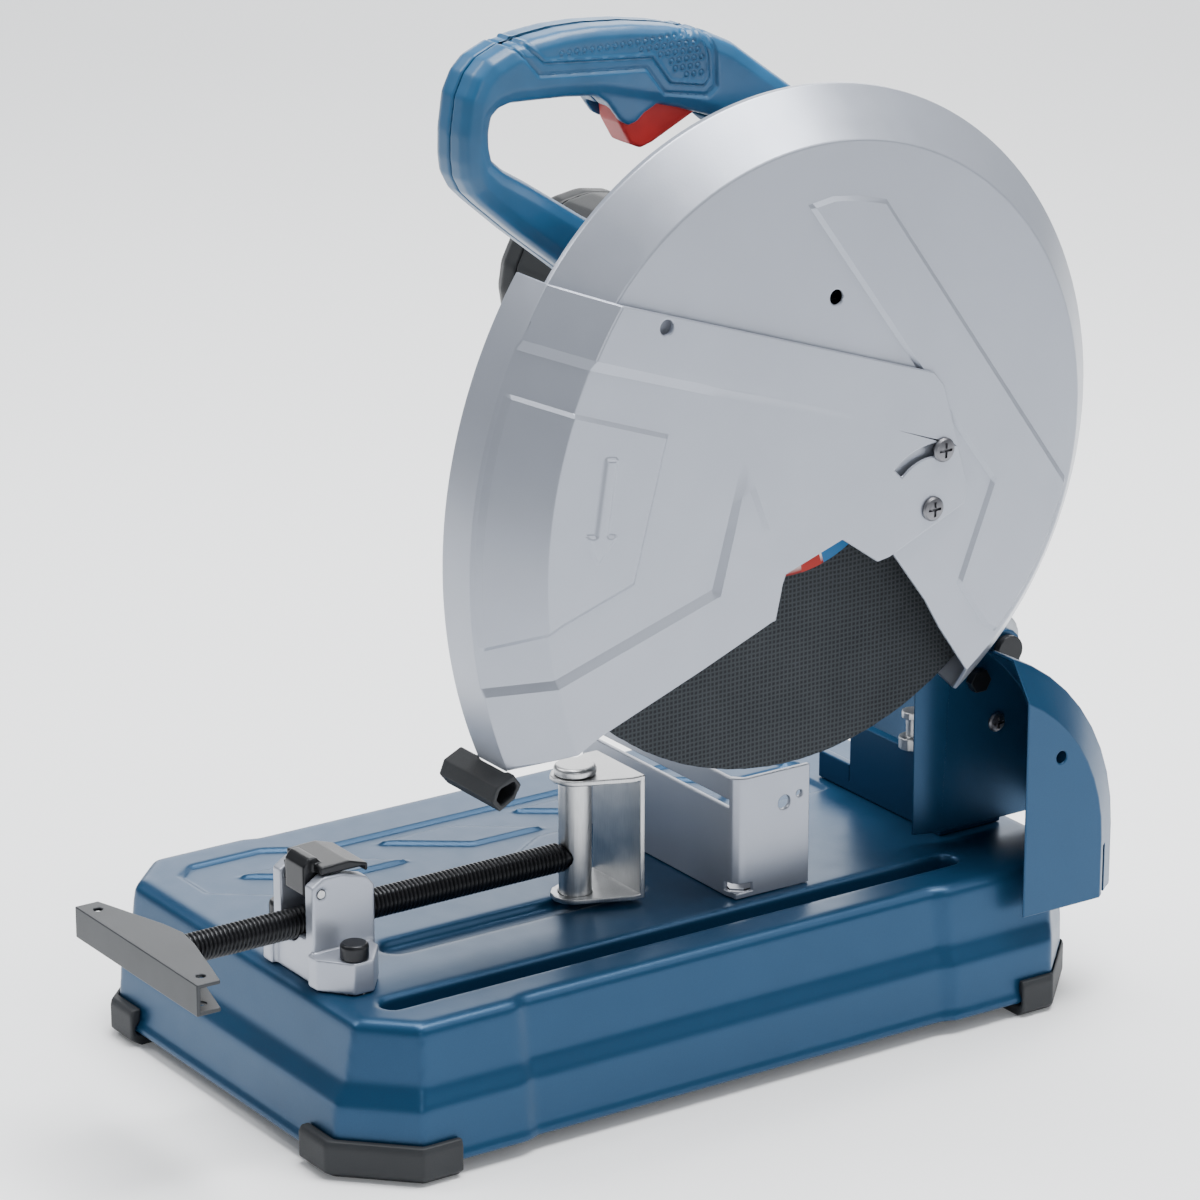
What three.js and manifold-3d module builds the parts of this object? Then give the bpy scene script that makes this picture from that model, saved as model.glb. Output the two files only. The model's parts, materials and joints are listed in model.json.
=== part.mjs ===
// Abrasive chop saw: a pressed base with a quick-action vise, and a hinged head that carries the motor,
// the gearbox, a D-handle, the guards and a 355 mm cut-off wheel. Millimetres, +Z up.
// The pieces are drawn round the wheel: X runs along the spindle towards the wheel's open face,
// Y runs from the operator to the rear hinge, and zero is the wheel's centre. The last lines move the
// whole saw so that its origin is on the ground, under the middle of its outline.
import * as THREE from 'three';
import { mergeVertices } from 'three/addons/utils/BufferGeometryUtils.js';
import Module from 'manifold-3d';

const wasm = await Module();
wasm.setup();

// ---- driving dimensions ----
const gap = 0.3; // between touching pieces
const wheel = { radius: 177.5, half: 1.5, bore: 12.9 };
const groundZ = -338;
const base = {
  left: -242.5, right: 34, front: -274.5, rear: 179, top: -256.5, rim: -331, chamfer: 25, sheet: 3,
};
const outlineCentre = { x: -99.6, y: -81.5 };

const pivot = { y: 170, z: -156 }; // head hinge
const guardPivot = { y: 66, z: -39 }; // swing guard hinge
const guardSlot = { radius: 31.8, from: 78.4, to: 133.3, half: 3.3 }; // degrees, round the guard pivot
const gear = { module: 1.25, wheelTeeth: 71, pinionTeeth: 12, tilt: 15.6 };
const shaftGap = gear.module * (gear.wheelTeeth + gear.pinionTeeth) / 2;
const motor = {
  y: -shaftGap * Math.sin(THREE.MathUtils.degToRad(gear.tilt)),
  z: shaftGap * Math.cos(THREE.MathUtils.degToRad(gear.tilt)),
  radius: 50, wall: 3, front: -76, rear: -165,
};
const upperGuard = {
  rim: 189.2, face: 165, sheet: 2, back: -20, waist: 4, backRim: 171.5, shoulder: 7, front: 32,
};
const swingGuard = {
  rim: 268.2, face: 241, sheet: 1.6, back: -18, waist: -17, backRim: 268.2, shoulder: 8, front: 36,
};
const handle = { right: -40, left: -74, split: -57, wall: 2.5, round: 7.5 };
const fence = { left: -160, right: -14.5, front: -22.4, depth: 49, height: 68, sheet: 3 };
const vise = { x: -63, z: -229.5, thread: 8 };
const leverPin = { y: -262.6, z: -207, radius: 2.4 };
const jaw = { y: -92, pin: 8.9, face: -62.5, low: -254, high: -184, halfWidth: 23 };
const crank = { left: -124, right: 1.5, front: -360, low: -236.5, high: -219.5, sheet: 2.2 };
const housing = { right: -27, left: -70, wall: 5, spindleRadius: 52 };
const hood = {
  left: -22, shoulder: 33, right: 48, front: 125, sheet: 1.6,
  centre: { y: 78.5, z: -243.5 }, radius: 118.5, sideRadius: 99.5,
};

// Bolts that go down through the base, as [x, y].
const boltSpots = {
  bracket: [-126, 150],
  viseRight: [-24.5, -253],
  viseLeft: [-95.5, -253],
  fencePivot: [-34, 2],
  fenceClamp: [-130, 2],
};

// ---- paints and metals ----
const finishes = {
  bluePaint: { color: 0x2b658c, roughness: 0.35, metalness: 0.3 },
  bluePlastic: { color: 0x245f88, roughness: 0.5, metalness: 0 },
  silverPaint: { color: 0xb2b7bd, roughness: 0.4, metalness: 0.5 },
  castAluminium: { color: 0xa5a9ad, roughness: 0.5, metalness: 0.8 },
  platedSteel: { color: 0x9c9c9c, roughness: 0.25, metalness: 1 },
  darkSteel: { color: 0x24262a, roughness: 0.4, metalness: 0.8 },
  blackPlastic: { color: 0x202427, roughness: 0.6, metalness: 0 },
  rubber: { color: 0x1c1f21, roughness: 0.85, metalness: 0 },
  wheelGrit: { color: 0x3b3f44, roughness: 0.95, metalness: 0 },
  redPlastic: { color: 0xc02623, roughness: 0.4, metalness: 0 },
  copper: { color: 0xb0703c, roughness: 0.4, metalness: 0.9 },
  carbon: { color: 0x2a2a2c, roughness: 0.8, metalness: 0.1 },
  grease: { color: 0x77777a, roughness: 0.3, metalness: 0.9 },
};

const machine = new THREE.Group();

// ---- solids ----
function toSolid(geometry) {
  const bare = geometry.index ? geometry.toNonIndexed() : geometry.clone();
  for (const name of Object.keys(bare.attributes)) {
    if (name !== 'position') bare.deleteAttribute(name);
  }
  const merged = mergeVertices(bare, 1e-4);
  const triVerts = Uint32Array.from(merged.index.array);
  const vertProperties = Float32Array.from(merged.attributes.position.array);
  if (signedVolume(vertProperties, triVerts) < 0) {
    for (let i = 0; i < triVerts.length; i += 3) {
      [triVerts[i + 1], triVerts[i + 2]] = [triVerts[i + 2], triVerts[i + 1]];
    }
  }
  return new wasm.Manifold(new wasm.Mesh({ numProp: 3, vertProperties, triVerts }));
}

function signedVolume(points, triangles) {
  const corners = [new THREE.Vector3(), new THREE.Vector3(), new THREE.Vector3()];
  let sum = 0;
  for (let i = 0; i < triangles.length; i += 3) {
    corners.forEach((corner, k) => corner.fromArray(points, 3 * triangles[i + k]));
    sum += corners[0].dot(corners[1].cross(corners[2]));
  }
  return sum;
}

function addPart(name, finish, solid) {
  const mesh = solid.getMesh();
  const geometry = new THREE.BufferGeometry();
  geometry.setAttribute('position', new THREE.BufferAttribute(Float32Array.from(mesh.vertProperties), 3));
  geometry.setIndex(new THREE.BufferAttribute(Uint32Array.from(mesh.triVerts), 1));
  geometry.computeVertexNormals();
  const part = new THREE.Mesh(geometry, new THREE.MeshStandardMaterial(finishes[finish]));
  part.name = name;
  machine.add(part);
}

// Turns a geometry's own axes onto the saw's: its x, y and z become the named axes.
function turned(geometry, xAxis, yAxis, zAxis, origin = [0, 0, 0]) {
  const matrix = new THREE.Matrix4().makeBasis(
    new THREE.Vector3(...xAxis), new THREE.Vector3(...yAxis), new THREE.Vector3(...zAxis));
  matrix.setPosition(...origin);
  return geometry.applyMatrix4(matrix);
}

const axes = { x: [1, 0, 0], y: [0, 1, 0], z: [0, 0, 1], minusY: [0, -1, 0] };

function shapeOf(points, holes = []) {
  const shape = new THREE.Shape(points.map(([u, v]) => new THREE.Vector2(u, v)));
  for (const hole of holes) {
    shape.holes.push(new THREE.Path(hole.map(([u, v]) => new THREE.Vector2(u, v))));
  }
  return shape;
}

function extruded(shape, depth, bevel = 0, inset = 0) {
  const options = bevel
    ? { depth: depth - 2 * bevel, bevelEnabled: true, bevelThickness: bevel, bevelSize: bevel,
      bevelOffset: -bevel - inset, bevelSegments: 2, curveSegments: 8 }
    : { depth, bevelEnabled: false, curveSegments: 8 };
  const geometry = new THREE.ExtrudeGeometry(shape, options);
  return geometry.translate(0, 0, bevel);
}

// A shape drawn in (Y, Z) and pushed along X, and one drawn in (X, Y) and pushed along Z.
function slabX(shape, fromX, toX, bevel = 0, inset = 0) {
  const geometry = extruded(shape, toX - fromX, bevel, inset);
  return toSolid(turned(geometry, axes.y, axes.z, axes.x, [fromX, 0, 0]));
}

function slabZ(shape, fromZ, toZ, bevel = 0) {
  return toSolid(extruded(shape, toZ - fromZ, bevel).translate(0, 0, fromZ));
}

function block(x0, x1, y0, y1, z0, z1) {
  const geometry = new THREE.BoxGeometry(x1 - x0, y1 - y0, z1 - z0);
  return toSolid(geometry.translate((x0 + x1) / 2, (y0 + y1) / 2, (z0 + z1) / 2));
}

// A turned piece: profile points are [radius, place along the axis].
function latheX(profile, y = 0, z = 0, segments = 24) {
  const geometry = new THREE.LatheGeometry(profile.map(([r, x]) => new THREE.Vector2(r, x)), segments);
  return toSolid(turned(geometry, axes.y, axes.x, [0, 0, -1], [0, y, z]));
}

function latheY(profile, x, z, segments = 24) {
  const geometry = new THREE.LatheGeometry(profile.map(([r, y]) => new THREE.Vector2(r, y)), segments);
  return toSolid(geometry.translate(x, 0, z));
}

function latheZ(profile, x, y, segments = 24) {
  const geometry = new THREE.LatheGeometry(profile.map(([r, z]) => new THREE.Vector2(r, z)), segments);
  return toSolid(turned(geometry, axes.x, axes.z, axes.minusY, [x, y, 0]));
}

function rod(radius, from, to) {
  return [[0, from], [radius, from], [radius, to], [0, to]];
}

function tube(inner, outer, from, to) {
  return [[inner, from], [outer, from], [outer, to], [inner, to], [inner, from]];
}

function arcPoints(centreU, centreV, radius, fromDegrees, toDegrees, steps) {
  const points = [];
  for (let i = 0; i <= steps; i++) {
    const angle = THREE.MathUtils.degToRad(fromDegrees + (toDegrees - fromDegrees) * i / steps);
    points.push([centreU + radius * Math.cos(angle), centreV + radius * Math.sin(angle)]);
  }
  return points;
}

function smoothPoints(points, steps, closed = false) {
  const curve = new THREE.CatmullRomCurve3(
    points.map(([u, v]) => new THREE.Vector3(u, v, 0)), closed, 'centripetal');
  const samples = curve.getPoints(steps).map((p) => [p.x, p.y]);
  if (closed) samples.pop();
  return samples;
}

// A skin over closed rings that all have the same number of points; flat caps close both ends.
function loft(rings) {
  const count = rings[0].length;
  const positions = rings.flat(2);
  const index = [];
  for (let r = 0; r + 1 < rings.length; r++) {
    for (let i = 0; i < count; i++) {
      const a = r * count + i;
      const b = r * count + (i + 1) % count;
      index.push(a, b, b + count, a, b + count, a + count);
    }
  }
  for (const [first, flip] of [[0, true], [(rings.length - 1) * count, false]]) {
    const ring = rings[first / count];
    const flat = flatten(ring);
    const reverse = flip !== THREE.ShapeUtils.isClockWise(flat);
    for (const [a, b, c] of THREE.ShapeUtils.triangulateShape(flat, [])) {
      index.push(...(reverse ? [first + a, first + c, first + b] : [first + a, first + b, first + c]));
    }
  }
  const geometry = new THREE.BufferGeometry();
  geometry.setAttribute('position', new THREE.Float32BufferAttribute(positions, 3));
  geometry.setIndex(index);
  return toSolid(geometry);
}

// Drops the axis along which a flat ring does not spread.
function flatten(ring) {
  const spread = [0, 1, 2].map((k) => {
    const values = ring.map((p) => p[k]);
    return Math.max(...values) - Math.min(...values);
  });
  const [u, v] = [[1, 2], [2, 0], [0, 1]][spread.indexOf(Math.min(...spread))];
  return ring.map((p) => new THREE.Vector2(p[u], p[v]));
}

// ---- base, feet and fixed pieces ----
// The base outline at one level: out is how far the wall stands outside the top edge.
function baseRing(out, z, shrink = 0) {
  const lean = { left: 0.35, right: 1, front: 1.4, rear: 0.3 };
  const x0 = base.left - lean.left * out + shrink;
  const x1 = base.right + lean.right * out - shrink;
  const y0 = base.front - lean.front * out + shrink;
  const y1 = base.rear + lean.rear * out - shrink;
  const waist = { depth: 3, front: -193, rear: 84, slope: 8 };
  const corner = base.chamfer + 0.8 * out - 0.4 * shrink;
  const right = [[x1, y0 + corner], [x1, waist.front], [x1 - waist.depth, waist.front + waist.slope],
    [x1 - waist.depth, waist.rear - waist.slope], [x1, waist.rear], [x1, y1 - corner]];
  const left = right.map(([x, y]) => [x0 + x1 - x, y]).reverse();
  const frontEdge = [[x0 + corner, y0], [x1 - corner, y0]];
  const rearEdge = [[x1 - corner, y1], [x0 + corner, y1]];
  const ring = [...frontEdge, ...right, ...rearEdge, ...left];
  return ring.map(([x, y]) => [x, y, z]);
}

// Wall levels from the top edge to the rim: [how far out, height below the top].
const wallLevels = [[-4, 0], [0, 3.5], [3.5, 33], [8.5, 43], [10, 68], [12, 70.5], [12, 74.5]];

function baseSolid(shrink, topDrop, footDrop) {
  const rings = wallLevels.map(([out, drop]) => baseRing(out, base.top - drop - topDrop, shrink));
  const foot = rings.pop().map(([x, y]) => [x, y, base.rim - footDrop]);
  return loft([...rings, foot].reverse());
}

function groove(x, from, to, half, depth) {
  const rearEnd = arcPoints(x, to - half, half, 0, 180, 6);
  const frontEnd = arcPoints(x, from + half, half, 180, 360, 6);
  const outline = [...rearEnd, ...frontEnd];
  return slabZ(shapeOf(outline), base.top - depth, base.top + 1);
}

function makeBase() {
  const wheelGroove = { from: -252, to: 115, half: 7, depth: 13 };
  const viseGroove = { from: -213, to: -49, half: 9, depth: 5 };
  let shell = baseSolid(0, 0, 0).subtract(baseSolid(base.sheet, base.sheet, 5));
  const grooves = [[0, wheelGroove], [vise.x, viseGroove]];
  for (const [x, g] of grooves) {
    const trough = groove(x, g.from - 3, g.to + 3, g.half + 3, g.depth + 3)
      .subtract(block(-300, 100, -400, 300, base.top - 0.5, base.top + 5));
    shell = shell.add(trough);
  }
  for (const [x, g] of grooves) shell = shell.subtract(groove(x, g.from, g.to, g.half, g.depth));
  for (const [x, y] of Object.values(boltSpots)) {
    shell = shell.subtract(latheZ(rod(4.8, base.top - 30, base.top + 5), x, y, 12));
  }
  shell = shell.subtract(slabZ(shapeOf(swivelSlot()), base.top - 30, base.top + 5));
  addPart('base_shell', 'bluePaint', shell);
}

function makeFeet() {
  const envelope = baseSolid(-gap, -gap, gap);
  const cup = loft([baseRing(10, groundZ), baseRing(14.5, groundZ + 4), baseRing(14.5, groundZ + 18),
    baseRing(13.5, groundZ + 21)]);
  const inner = { left: -188, right: -14, front: -234, rear: 126 };
  const outer = { left: -300, right: 100, front: -400, rear: 300 };
  for (const side of ['left', 'right']) {
    for (const end of ['front', 'rear']) {
      const xs = [inner[side], outer[side]].sort((a, b) => a - b);
      const ys = [inner[end], outer[end]].sort((a, b) => a - b);
      const corner = block(xs[0], xs[1], ys[0], ys[1], groundZ - 1, groundZ + 40);
      addPart(`foot_${end}_${side}`, 'rubber', cup.intersect(corner).subtract(envelope));
    }
  }
}

function makeHingeBracket() {
  const foot = base.top + gap;
  const ear = shapeOf([[126, foot], [168, foot], [181, -195], ...arcPoints(pivot.y, pivot.z, 11, -10, 170, 8),
    [146, -172], [126, -208]]);
  const bore = latheX(rod(7.2, -160, 0), pivot.y, pivot.z, 20);
  const bracket = slabX(ear, -38, -30)
    .add(slabX(ear, -112, -104))
    .add(block(-112, -30, 126, 132, foot, -214))
    .add(block(-141, -28, 126, 168, foot, foot + 6))
    .add(block(-141, -112.1, 126, 131, foot, foot + 16))
    .subtract(bore)
    .subtract(latheZ(rod(4.4, foot - 1, foot + 30), ...boltSpots.bracket, 12));
  addPart('hinge_bracket', 'bluePaint', bracket);
  addPart('hinge_pin', 'darkSteel', latheX([[0, -118], [10, -118], [10, -112.4], [6.9, -112.4], [6.9, -29.7],
    [8.6, -29.7], [8.6, -25], [0, -25]], pivot.y, pivot.z, 20));
  addPart('bracket_bolt', 'darkSteel', latheZ([[0, foot - 5.5], [4, foot - 5.5], [4, foot + 6.3],
    [8, foot + 6.3], [8, foot + 12], [0, foot + 12]], ...boltSpots.bracket, 12));
  addPart('depth_stop_screw', 'platedSteel', latheZ([[0, -213.7], [8, -213.7], [8, -207], [4, -207],
    [4, -196], [6.5, -196], [6.5, -192], [0, -192]], -58, 129, 12));
}

// Side outline of the hood at one X: a front edge, one arc over the top and back, and an open bottom.
function hoodRing(x, radius) {
  const { y, z } = hood.centre;
  const from = THREE.MathUtils.radToDeg(Math.acos((hood.front - y) / radius));
  const low = z - 41;
  const outline = [[hood.front - 30, low], [hood.front - 30, z + radius * Math.sin(from * Math.PI / 180)],
    ...arcPoints(y, z, radius, from, 0, 9), [y + radius, low]];
  return outline.map(([v, w]) => [x, v, w]);
}

function hoodSolid(shrink) {
  const rings = [[hood.left + shrink, hood.radius], [hood.shoulder, hood.radius],
    [hood.right - shrink, hood.sideRadius]];
  return loft(rings.map(([x, radius]) => hoodRing(x, radius - shrink)));
}

function makeHood() {
  const bottom = -279;
  const panelBottom = -250.5;
  const shell = hoodSolid(0).subtract(hoodSolid(hood.sheet))
    .subtract(block(hood.left - 1, hood.right + 1, 80, hood.front, -300, -100))
    .subtract(block(hood.left - 1, hood.right + 1, 80, 220, -300, bottom))
    .subtract(block(hood.left - 1, hood.right - 3, 80, 185, -300, panelBottom))
    .subtract(block(hood.left - 1, hood.right - 17, 80, 220, -300, panelBottom))
    .subtract(block(hood.left + hood.sheet, 15.5, 80, 150, -200, -100))
    .subtract(latheX(rod(3.5, 40, 60), 148.5, -191, 16));
  const flange = slabZ(shapeOf([[hood.left, hood.front + 2], [hood.left, 121], [-27.5, 105.5], [-25.9, 105.1],
    [hood.left + hood.sheet, 120.6], [hood.left + hood.sheet, hood.front + 2]]), panelBottom, -135);
  const screwHole = latheX(rod(3.1, -40, -10), 157, -193, 12);
  const boltHole = latheX(rod(4.2, -40, -10), 142, -165, 12);
  addPart('spark_hood', 'bluePaint', shell.add(flange).subtract(screwHole).subtract(boltHole));
  addPart('hood_screw', 'platedSteel', latheX([[0, -29.5], [2.8, -29.5], [2.8, -20], [5.5, -20], [4, -17],
    [0, -16.5]], 157, -193, 16));
  const hexagon = slabX(shapeOf(arcPoints(142, -165, 7, 0, 300, 5)), -20, -14.5);
  addPart('hood_bolt', 'darkSteel', hexagon.add(latheX(rod(3.9, -29.5, -19.5), 142, -165, 12)));
}

// ---- fence and vise ----
function makeFence() {
  const foot = base.top + gap;
  const top = foot + fence.height;
  const rear = fence.front + fence.depth;
  const bend = 8;
  const plan = shapeOf([[fence.left, fence.front], [fence.right - bend, fence.front],
    ...arcPoints(fence.right - bend, fence.front + bend, bend, -60, -30, 1),
    [fence.right, fence.front + bend], [fence.right, rear], [fence.right - fence.sheet, rear],
    [fence.right - fence.sheet, fence.front + bend],
    [fence.right - bend, fence.front + fence.sheet], [fence.left, fence.front + fence.sheet]]);
  const slot = block(-150, -21, fence.front - 2, fence.front + 5, top - 17, top - 12.5);
  const sole = block(fence.left, fence.right, fence.front + 1, rear - 14, foot, foot + fence.sheet);
  const relief = block(fence.right - 10, fence.right + 1, fence.front - 1, fence.front + 12,
    foot + 3.2, foot + 8);
  const solid = slabZ(plan, foot, top).add(sole).subtract(slot).subtract(relief)
    .subtract(latheZ(rod(4.7, foot - 1, foot + 5), ...boltSpots.fencePivot, 16))
    .subtract(latheZ(rod(4.7, foot - 1, foot + 5), ...boltSpots.fenceClamp, 16))
    .subtract(latheX(rod(4, -30, 0), 10, -207, 16))
    .subtract(latheX(rod(2, -30, 0), 20, -204, 12));
  addPart('fence', 'silverPaint', solid);
  for (const [name, x, y] of [['fence_bolt_right', ...boltSpots.fencePivot],
    ['fence_bolt_left', ...boltSpots.fenceClamp]]) {
    const z = foot + fence.sheet + gap;
    addPart(name, 'darkSteel', latheZ([[0, base.top - 9], [4.2, base.top - 9], [4.2, z], [11, z], [11, z + 2],
      [7, z + 2], [7, z + 8], [0, z + 8]], x, y, 16));
  }
}

// The fence swings 45 degrees about its right bolt, so its left bolt runs in a slot round that bolt.
function swivelSlot() {
  const [x, y] = boltSpots.fencePivot;
  const radius = x - boltSpots.fenceClamp[0];
  const half = 4.8;
  const ends = [130.8, 180];
  return [...arcPoints(x, y, radius + half, ends[0], ends[1], 8),
    ...arcPoints(x, y, radius - half, ends[1], ends[0], 8)];
}

function makeViseBody() {
  const foot = base.top + gap;
  const cheek = { left: -80, right: -40, thick: 8, front: -268, rear: -231 };
  const side = [[cheek.front, foot], [cheek.rear, foot], [cheek.rear, -208], [-236, -202.4], [-250, -198.4],
    [-260.3, -198], [cheek.front, -203]];
  const pad = [[cheek.right - 2, -271], [-33, -270.5], [-17, -257.5], [-17, -246], [-33, -233.5],
    [cheek.right - 2, -233]];
  const middle = cheek.left + cheek.right;
  const padHeight = 17.5;
  const bed = block(cheek.left, cheek.right, cheek.front, cheek.rear, foot, vise.z - 3);
  const bolts = [['right', ...boltSpots.viseRight], ['left', ...boltSpots.viseLeft]];
  let body = slabX(shapeOf(side), cheek.right - cheek.thick, cheek.right)
    .add(slabX(shapeOf(side), cheek.left, cheek.left + cheek.thick))
    .add(bed)
    .add(slabZ(shapeOf(pad), foot, foot + padHeight))
    .add(slabZ(shapeOf(pad.map(([x, y]) => [middle - x, y])), foot, foot + padHeight))
    .subtract(latheY(rod(vise.thread + 0.6, -300, -200), vise.x, vise.z, 24))
    .subtract(latheX(rod(leverPin.radius + gap, -75, -20), leverPin.y, leverPin.z, 16))
    .subtract(block(-74, -46, -262, -238, foot - 1, foot + 6));
  for (const [, x, y] of bolts) body = body.subtract(latheZ(rod(4.4, foot - 1, foot + 40), x, y, 16));
  addPart('vise_casting', 'silverPaint', body);
  const seat = foot + padHeight + gap;
  for (const [name, x, y] of bolts) {
    addPart(`vise_bolt_${name}`, 'darkSteel', latheZ([[0, base.top - 9], [4.1, base.top - 9],
      [4.1, seat], [7.6, seat], [7.6, seat + 7], [6.5, seat + 8.5], [0, seat + 8.5]], x, y, 16));
  }
  const pin = latheX(rod(leverPin.radius, -74.6, -40.2), leverPin.y, leverPin.z, 12);
  addPart('release_lever_pin', 'platedSteel', pin);
}

// A thumb piece in front, a plate over the screw and a nose between the cheeks that turns on the pin.
function makeReleaseLever() {
  const thumb = [[-268, -194], [-264.5, -190], [-260, -190], [-255, -196], [-255, -211], [-268, -210]];
  const nose = [[-266.5, -197], [-250, -197], [-246, -203], [-257, -212.5], [-264, -212]];
  const plate = [[-262, -197.5], [-262, -193], [-245, -192.5], [-234, -196], [-234, -200], [-235.8, -200],
    [-235.8, -197.5]];
  const lever = slabX(shapeOf(nose), -71.6, -48.4)
    .add(slabX(shapeOf(plate), -76, -41))
    .add(slabX(shapeOf(thumb), -67.5, -48.6))
    .subtract(latheX(rod(leverPin.radius + gap, -90, -20), leverPin.y, leverPin.z, 16));
  addPart('release_lever', 'darkSteel', lever);
}

function makeViseScrew() {
  const neck = jaw.y - 9.5;
  const end = crank.front + crank.sheet + gap;
  const threadStart = -330.5;
  const profile = [[0, end], [4.4, end], [4.4, threadStart], [vise.thread, threadStart + 1.5],
    [vise.thread, neck], [5.7, neck], [5.7, jaw.y + 4], [0, jaw.y + 4]];
  addPart('vise_screw', 'darkSteel', latheY(profile, vise.x, vise.z, 16));
  const rearEdge = smoothPoints([[crank.right, -346.5], [-30, -338], [vise.x, -331], [-94, -338],
    [crank.left, -346.5]], 8);
  const outer = shapeOf([[crank.left, crank.front], [crank.right, crank.front], ...rearEdge]);
  const channel = slabZ(outer, crank.low, crank.high)
    .subtract(block(crank.left - 1, crank.right + 1, crank.front + crank.sheet, -320, crank.low + crank.sheet,
      crank.high - crank.sheet))
    .subtract(latheZ(rod(2.5, -260, -200), crank.right - 10, -352, 12))
    .subtract(latheZ(rod(2.5, -260, -200), crank.left + 10, -352, 12));
  addPart('crank_handle', 'darkSteel', channel);
}

function makeJaw() {
  const cap = [[0, jaw.low + 0.5], [jaw.pin, jaw.low + 0.5], [jaw.pin, jaw.high + gap],
    [11.5, jaw.high + gap], [11.5, jaw.high + 4], [10, jaw.high + 5.5], [0, jaw.high + 5.5]];
  const socket = latheY([[0, -120], [6.4, -120], [6.4, jaw.y - 3.6], [6, jaw.y - 3.6], [6, jaw.y + 4.5],
    [0, jaw.y + 4.5]], vise.x, vise.z, 16);
  addPart('jaw_pin', 'platedSteel', latheZ(cap, vise.x, jaw.y, 20).subtract(socket));
  const left = vise.x - jaw.halfWidth;
  const right = vise.x + jaw.halfWidth;
  const wing = shapeOf([...arcPoints(vise.x, jaw.y, 13.5, 190, 350, 6), [right, jaw.face - 8],
    [right, jaw.face], [left, jaw.face], [left, jaw.face - 8]]);
  const hollow = block(-120, 0, -120, jaw.face - 3, jaw.low + 3, jaw.high - 3);
  const bracket = slabZ(wing, jaw.low, jaw.high).subtract(hollow)
    .subtract(latheZ(rod(jaw.pin + gap, -270, -170), vise.x, jaw.y, 24));
  addPart('jaw_bracket', 'platedSteel', bracket);
}

// ---- head ----
function hull(circles, steps) {
  // Two circles joined by their outer tangents, as a closed outline.
  const [a, b] = circles;
  const heading = Math.atan2(b.z - a.z, b.y - a.y);
  const distance = Math.hypot(b.z - a.z, b.y - a.y);
  const lean = Math.acos((a.r - b.r) / distance);
  const degrees = THREE.MathUtils.radToDeg;
  return [...arcPoints(b.y, b.z, b.r, degrees(heading - lean), degrees(heading + lean), steps),
    ...arcPoints(a.y, a.z, a.r, degrees(heading + lean), degrees(heading - lean) + 360, steps)];
}

function housingOutline(grow) {
  return hull([{ y: 0, z: 0, r: housing.spindleRadius + grow }, { ...motor, r: motor.radius + grow }], 9);
}

function makeGearHousing() {
  const cup = slabX(shapeOf(housingOutline(0)), housing.left, housing.right)
    .subtract(slabX(shapeOf(housingOutline(-housing.wall)), housing.left - 1, housing.right - housing.wall))
    .add(latheX(tube(18.2, 30, housing.right - 14, upperGuard.back - gap), 0, 0, 20))
    .subtract(latheX(rod(18, -60, 0), 0, 0, 20))
    .add(latheX(tube(9.2, 18.5, -22.5, upperGuard.back - gap), 0, 0, 20));
  addPart('gear_housing', 'castAluminium', cup);
}

function makeSwingArm() {
  const web = hull([{ y: 38, z: -32, r: 24 }, { y: pivot.y, z: pivot.z, r: 18 }], 8);
  const lug = shapeOf([[160, -142], [182, -148], [190, -132], [186, -118], [168, -126]]);
  const arm = slabX(shapeOf(web), -66, -44)
    .add(slabX(lug, -60, -48))
    .add(latheX(rod(18.5, -76, -40), pivot.y, pivot.z, 28))
    .subtract(latheX(rod(9.7, -90, -20), pivot.y, pivot.z, 24))
    .subtract(slabX(shapeOf(housingOutline(gap)), -90, -20));
  addPart('swing_arm', 'castAluminium', arm);
  for (const [side, from, to] of [['right', -52, -40.5], ['left', -75.5, -64]]) {
    addPart(`arm_bush_${side}`, 'copper', latheX(tube(7.2, 9.4, from, to), pivot.y, pivot.z, 20));
  }
}

function makeReturnSpring() {
  const coils = 5;
  const wire = 2.2;
  const radius = 12.5;
  const start = -101.4;
  const pitch = 4.5;
  const points = [];
  for (let i = 0; i <= coils * 6; i++) {
    const angle = i / 6 * 2 * Math.PI;
    points.push(new THREE.Vector3(start + pitch * i / 6, pivot.y + radius * Math.cos(angle),
      pivot.z + radius * Math.sin(angle)));
  }
  const path = new THREE.CatmullRomCurve3(points);
  const section = shapeOf(arcPoints(0, 0, wire, 0, 300, 5));
  const geometry = new THREE.ExtrudeGeometry(section, { steps: coils * 6, extrudePath: path });
  addPart('return_spring', 'darkSteel', toSolid(geometry));
}

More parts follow.
